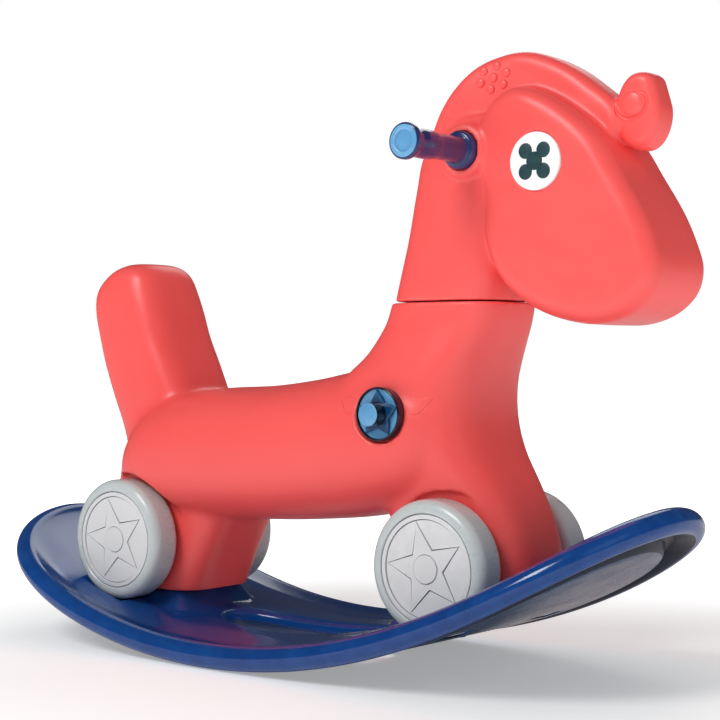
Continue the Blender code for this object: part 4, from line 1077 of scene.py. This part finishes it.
def makeWheels():
    half = halfOf("wheel_front_left")
    width = half.y * 2
    cap = capForm(width)
    for end in ends:
        for sideName, side in sides.items():
            tag = end + "_" + sideName
            at = centreOf("wheel_" + tag)
            inside = abs(at.y) - half.y
            tyre = turned(wheelProfile(half.x, width), 128, closed=True)
            tyre = newObject("wheel_tyre_" + tag, placed(tyre, at.x, at.z, side, inside), tyrePlastic)
            rides(shade(tyre, 35), "wheel_" + tag, "wheel_grey", "wheel_" + tag)
            bm = bmesh.new()
            bm.from_mesh(cap.data)
            placed(bm, at.x, at.z, side, inside)
            bmesh.ops.recalc_face_normals(bm, faces=bm.faces[:])
            star = newObject("star_cap_" + tag, bm, capPlastic, capGrooveShade)
            rides(shade(star, 30), "wheel_" + tag, "cap_silver", "hub_cap_" + tag)
    drop(cap)
    print("stage: wheels made")


# ---- hidden hardware keeps its frame shape

def finishHardware():
    for name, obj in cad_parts.items():
        mat = None
        if name.startswith(("axle_front", "axle_rear", "axle_nut", "tray_screw", "neck_bolt", "handlebar_rod")):
            mat = zincSteel
        elif name.startswith("axle_bush"):
            mat = bushPlastic
        if mat:
            for slot in obj.material_slots:
                slot.material = mat


makeTray()
makeTorso()
makeHead()
makeGrips()
makeEyes()
makeKnobs()
makeWheels()
finishHardware()


# ---- studio

studio = {"sky": 0.36, "mirrored": 0.05, "floorDimming": 0.95,
          "key": 38.0, "fill": 1.6, "rim": 8.0, "keySize": 1.1}


def skyNode(tree, strength):
    node = tree.nodes.new("ShaderNodeBackground")
    node.inputs["Color"].default_value = (1, 1, 1, 1)
    node.inputs["Strength"].default_value = strength
    return node.outputs[0]


def eitherSky(tree, share, first, second):
    node = tree.nodes.new("ShaderNodeMixShader")
    tree.links.new(share, node.inputs["Fac"])
    tree.links.new(first, node.inputs[1])
    tree.links.new(second, node.inputs[2])
    return node.outputs[0]


def makeSky():
    # plain white behind the horse; gloss mirrors a dimmer room than the one that lights it
    world = bpy.data.worlds.new("studio")
    world.use_nodes = True
    tree = world.node_tree
    rays = tree.nodes.new("ShaderNodeLightPath")
    lighting = eitherSky(tree, rays.outputs["Is Glossy Ray"], skyNode(tree, studio["sky"]),
                         skyNode(tree, studio["mirrored"]))
    tree.links.new(eitherSky(tree, rays.outputs["Is Camera Ray"], lighting, skyNode(tree, 1.0)),
                   tree.nodes["World Output"].inputs["Surface"])
    bpy.context.scene.world = world


def makeFloor():
    floorMesh = bmesh.new()
    bmesh.ops.create_circle(floorMesh, cap_ends=True, segments=128, radius=40.0)
    mat, tree, shader = startMaterial("pale_floor")
    soft = spreadOut(tree, noiseNode(tree, 3.0), 0.0, 1.0)
    tree.links.new(mixColour(tree, soft, (0.90, 0.90, 0.90), (0.88, 0.88, 0.88)), shader.inputs["Base Color"])
    shader.inputs["Roughness"].default_value = 0.9
    # the floor brightens to plain white away from the horse, so no horizon shows
    coords = tree.nodes.new("ShaderNodeTexCoord")
    distance = tree.nodes.new("ShaderNodeVectorMath")
    distance.operation = "LENGTH"
    tree.links.new(coords.outputs["Object"], distance.inputs[0])
    glow = spreadOut(tree, distance.outputs["Value"], 0.32, 1.0, 0.30, 1.0)
    glow.node.interpolation_type = "SMOOTHSTEP"
    # reflections see a dimmer floor, to match the dimmer room
    rays = tree.nodes.new("ShaderNodeLightPath")
    dimmed = tree.nodes.new("ShaderNodeMath")
    dimmed.operation = "MULTIPLY_ADD"
    tree.links.new(rays.outputs["Is Glossy Ray"], dimmed.inputs[0])
    dimmed.inputs[1].default_value = -studio["floorDimming"]
    dimmed.inputs[2].default_value = 1.0
    product = tree.nodes.new("ShaderNodeMath")
    product.operation = "MULTIPLY"
    tree.links.new(glow, product.inputs[0])
    tree.links.new(dimmed.outputs[0], product.inputs[1])
    tree.links.new(product.outputs[0], shader.inputs["Emission Strength"])
    shader.inputs["Emission Color"].default_value = (1, 1, 1, 1)
    floor = newObject("studio_floor", floorMesh, mat)
    floor.location.z = -0.0004


def makeLights():
    for name, place, power, size in (
            ("key", (-0.2, -2.2, 2.2), studio["key"], studio["keySize"]),
            ("fill", (2.4, -0.6, 1.3), studio["fill"], 1.4),
            ("rim", (-0.8, 1.8, 1.9), studio["rim"], 1.2)):
        light = bpy.data.lights.new(name, "AREA")
        light.energy = power
        light.size = size
        lamp = bpy.data.objects.new(name, light)
        lamp.location = place
        lamp.rotation_mode = "QUATERNION"
        lamp.rotation_quaternion = (Vector((0, 0, 0.25)) - Vector(place)).to_track_quat("-Z", "Y")
        bpy.context.scene.collection.objects.link(lamp)


view = {"place": (0.9826, -1.1912, 0.2709), "heading": 38.5, "lens": 83.23}


def makeCamera():
    data = bpy.data.cameras.new("camera")
    data.lens = view["lens"]
    data.sensor_width = 36.0
    camera = bpy.data.objects.new("camera", data)
    camera.location = view["place"]
    camera.rotation_euler = (math.radians(90), 0, math.radians(view["heading"]))
    bpy.context.scene.collection.objects.link(camera)
    bpy.context.scene.camera = camera
    bpy.context.scene.view_settings.view_transform = "Standard"


makeSky()
makeFloor()
makeLights()
makeCamera()
print("stage: studio made")

bpy.context.view_layer.update()
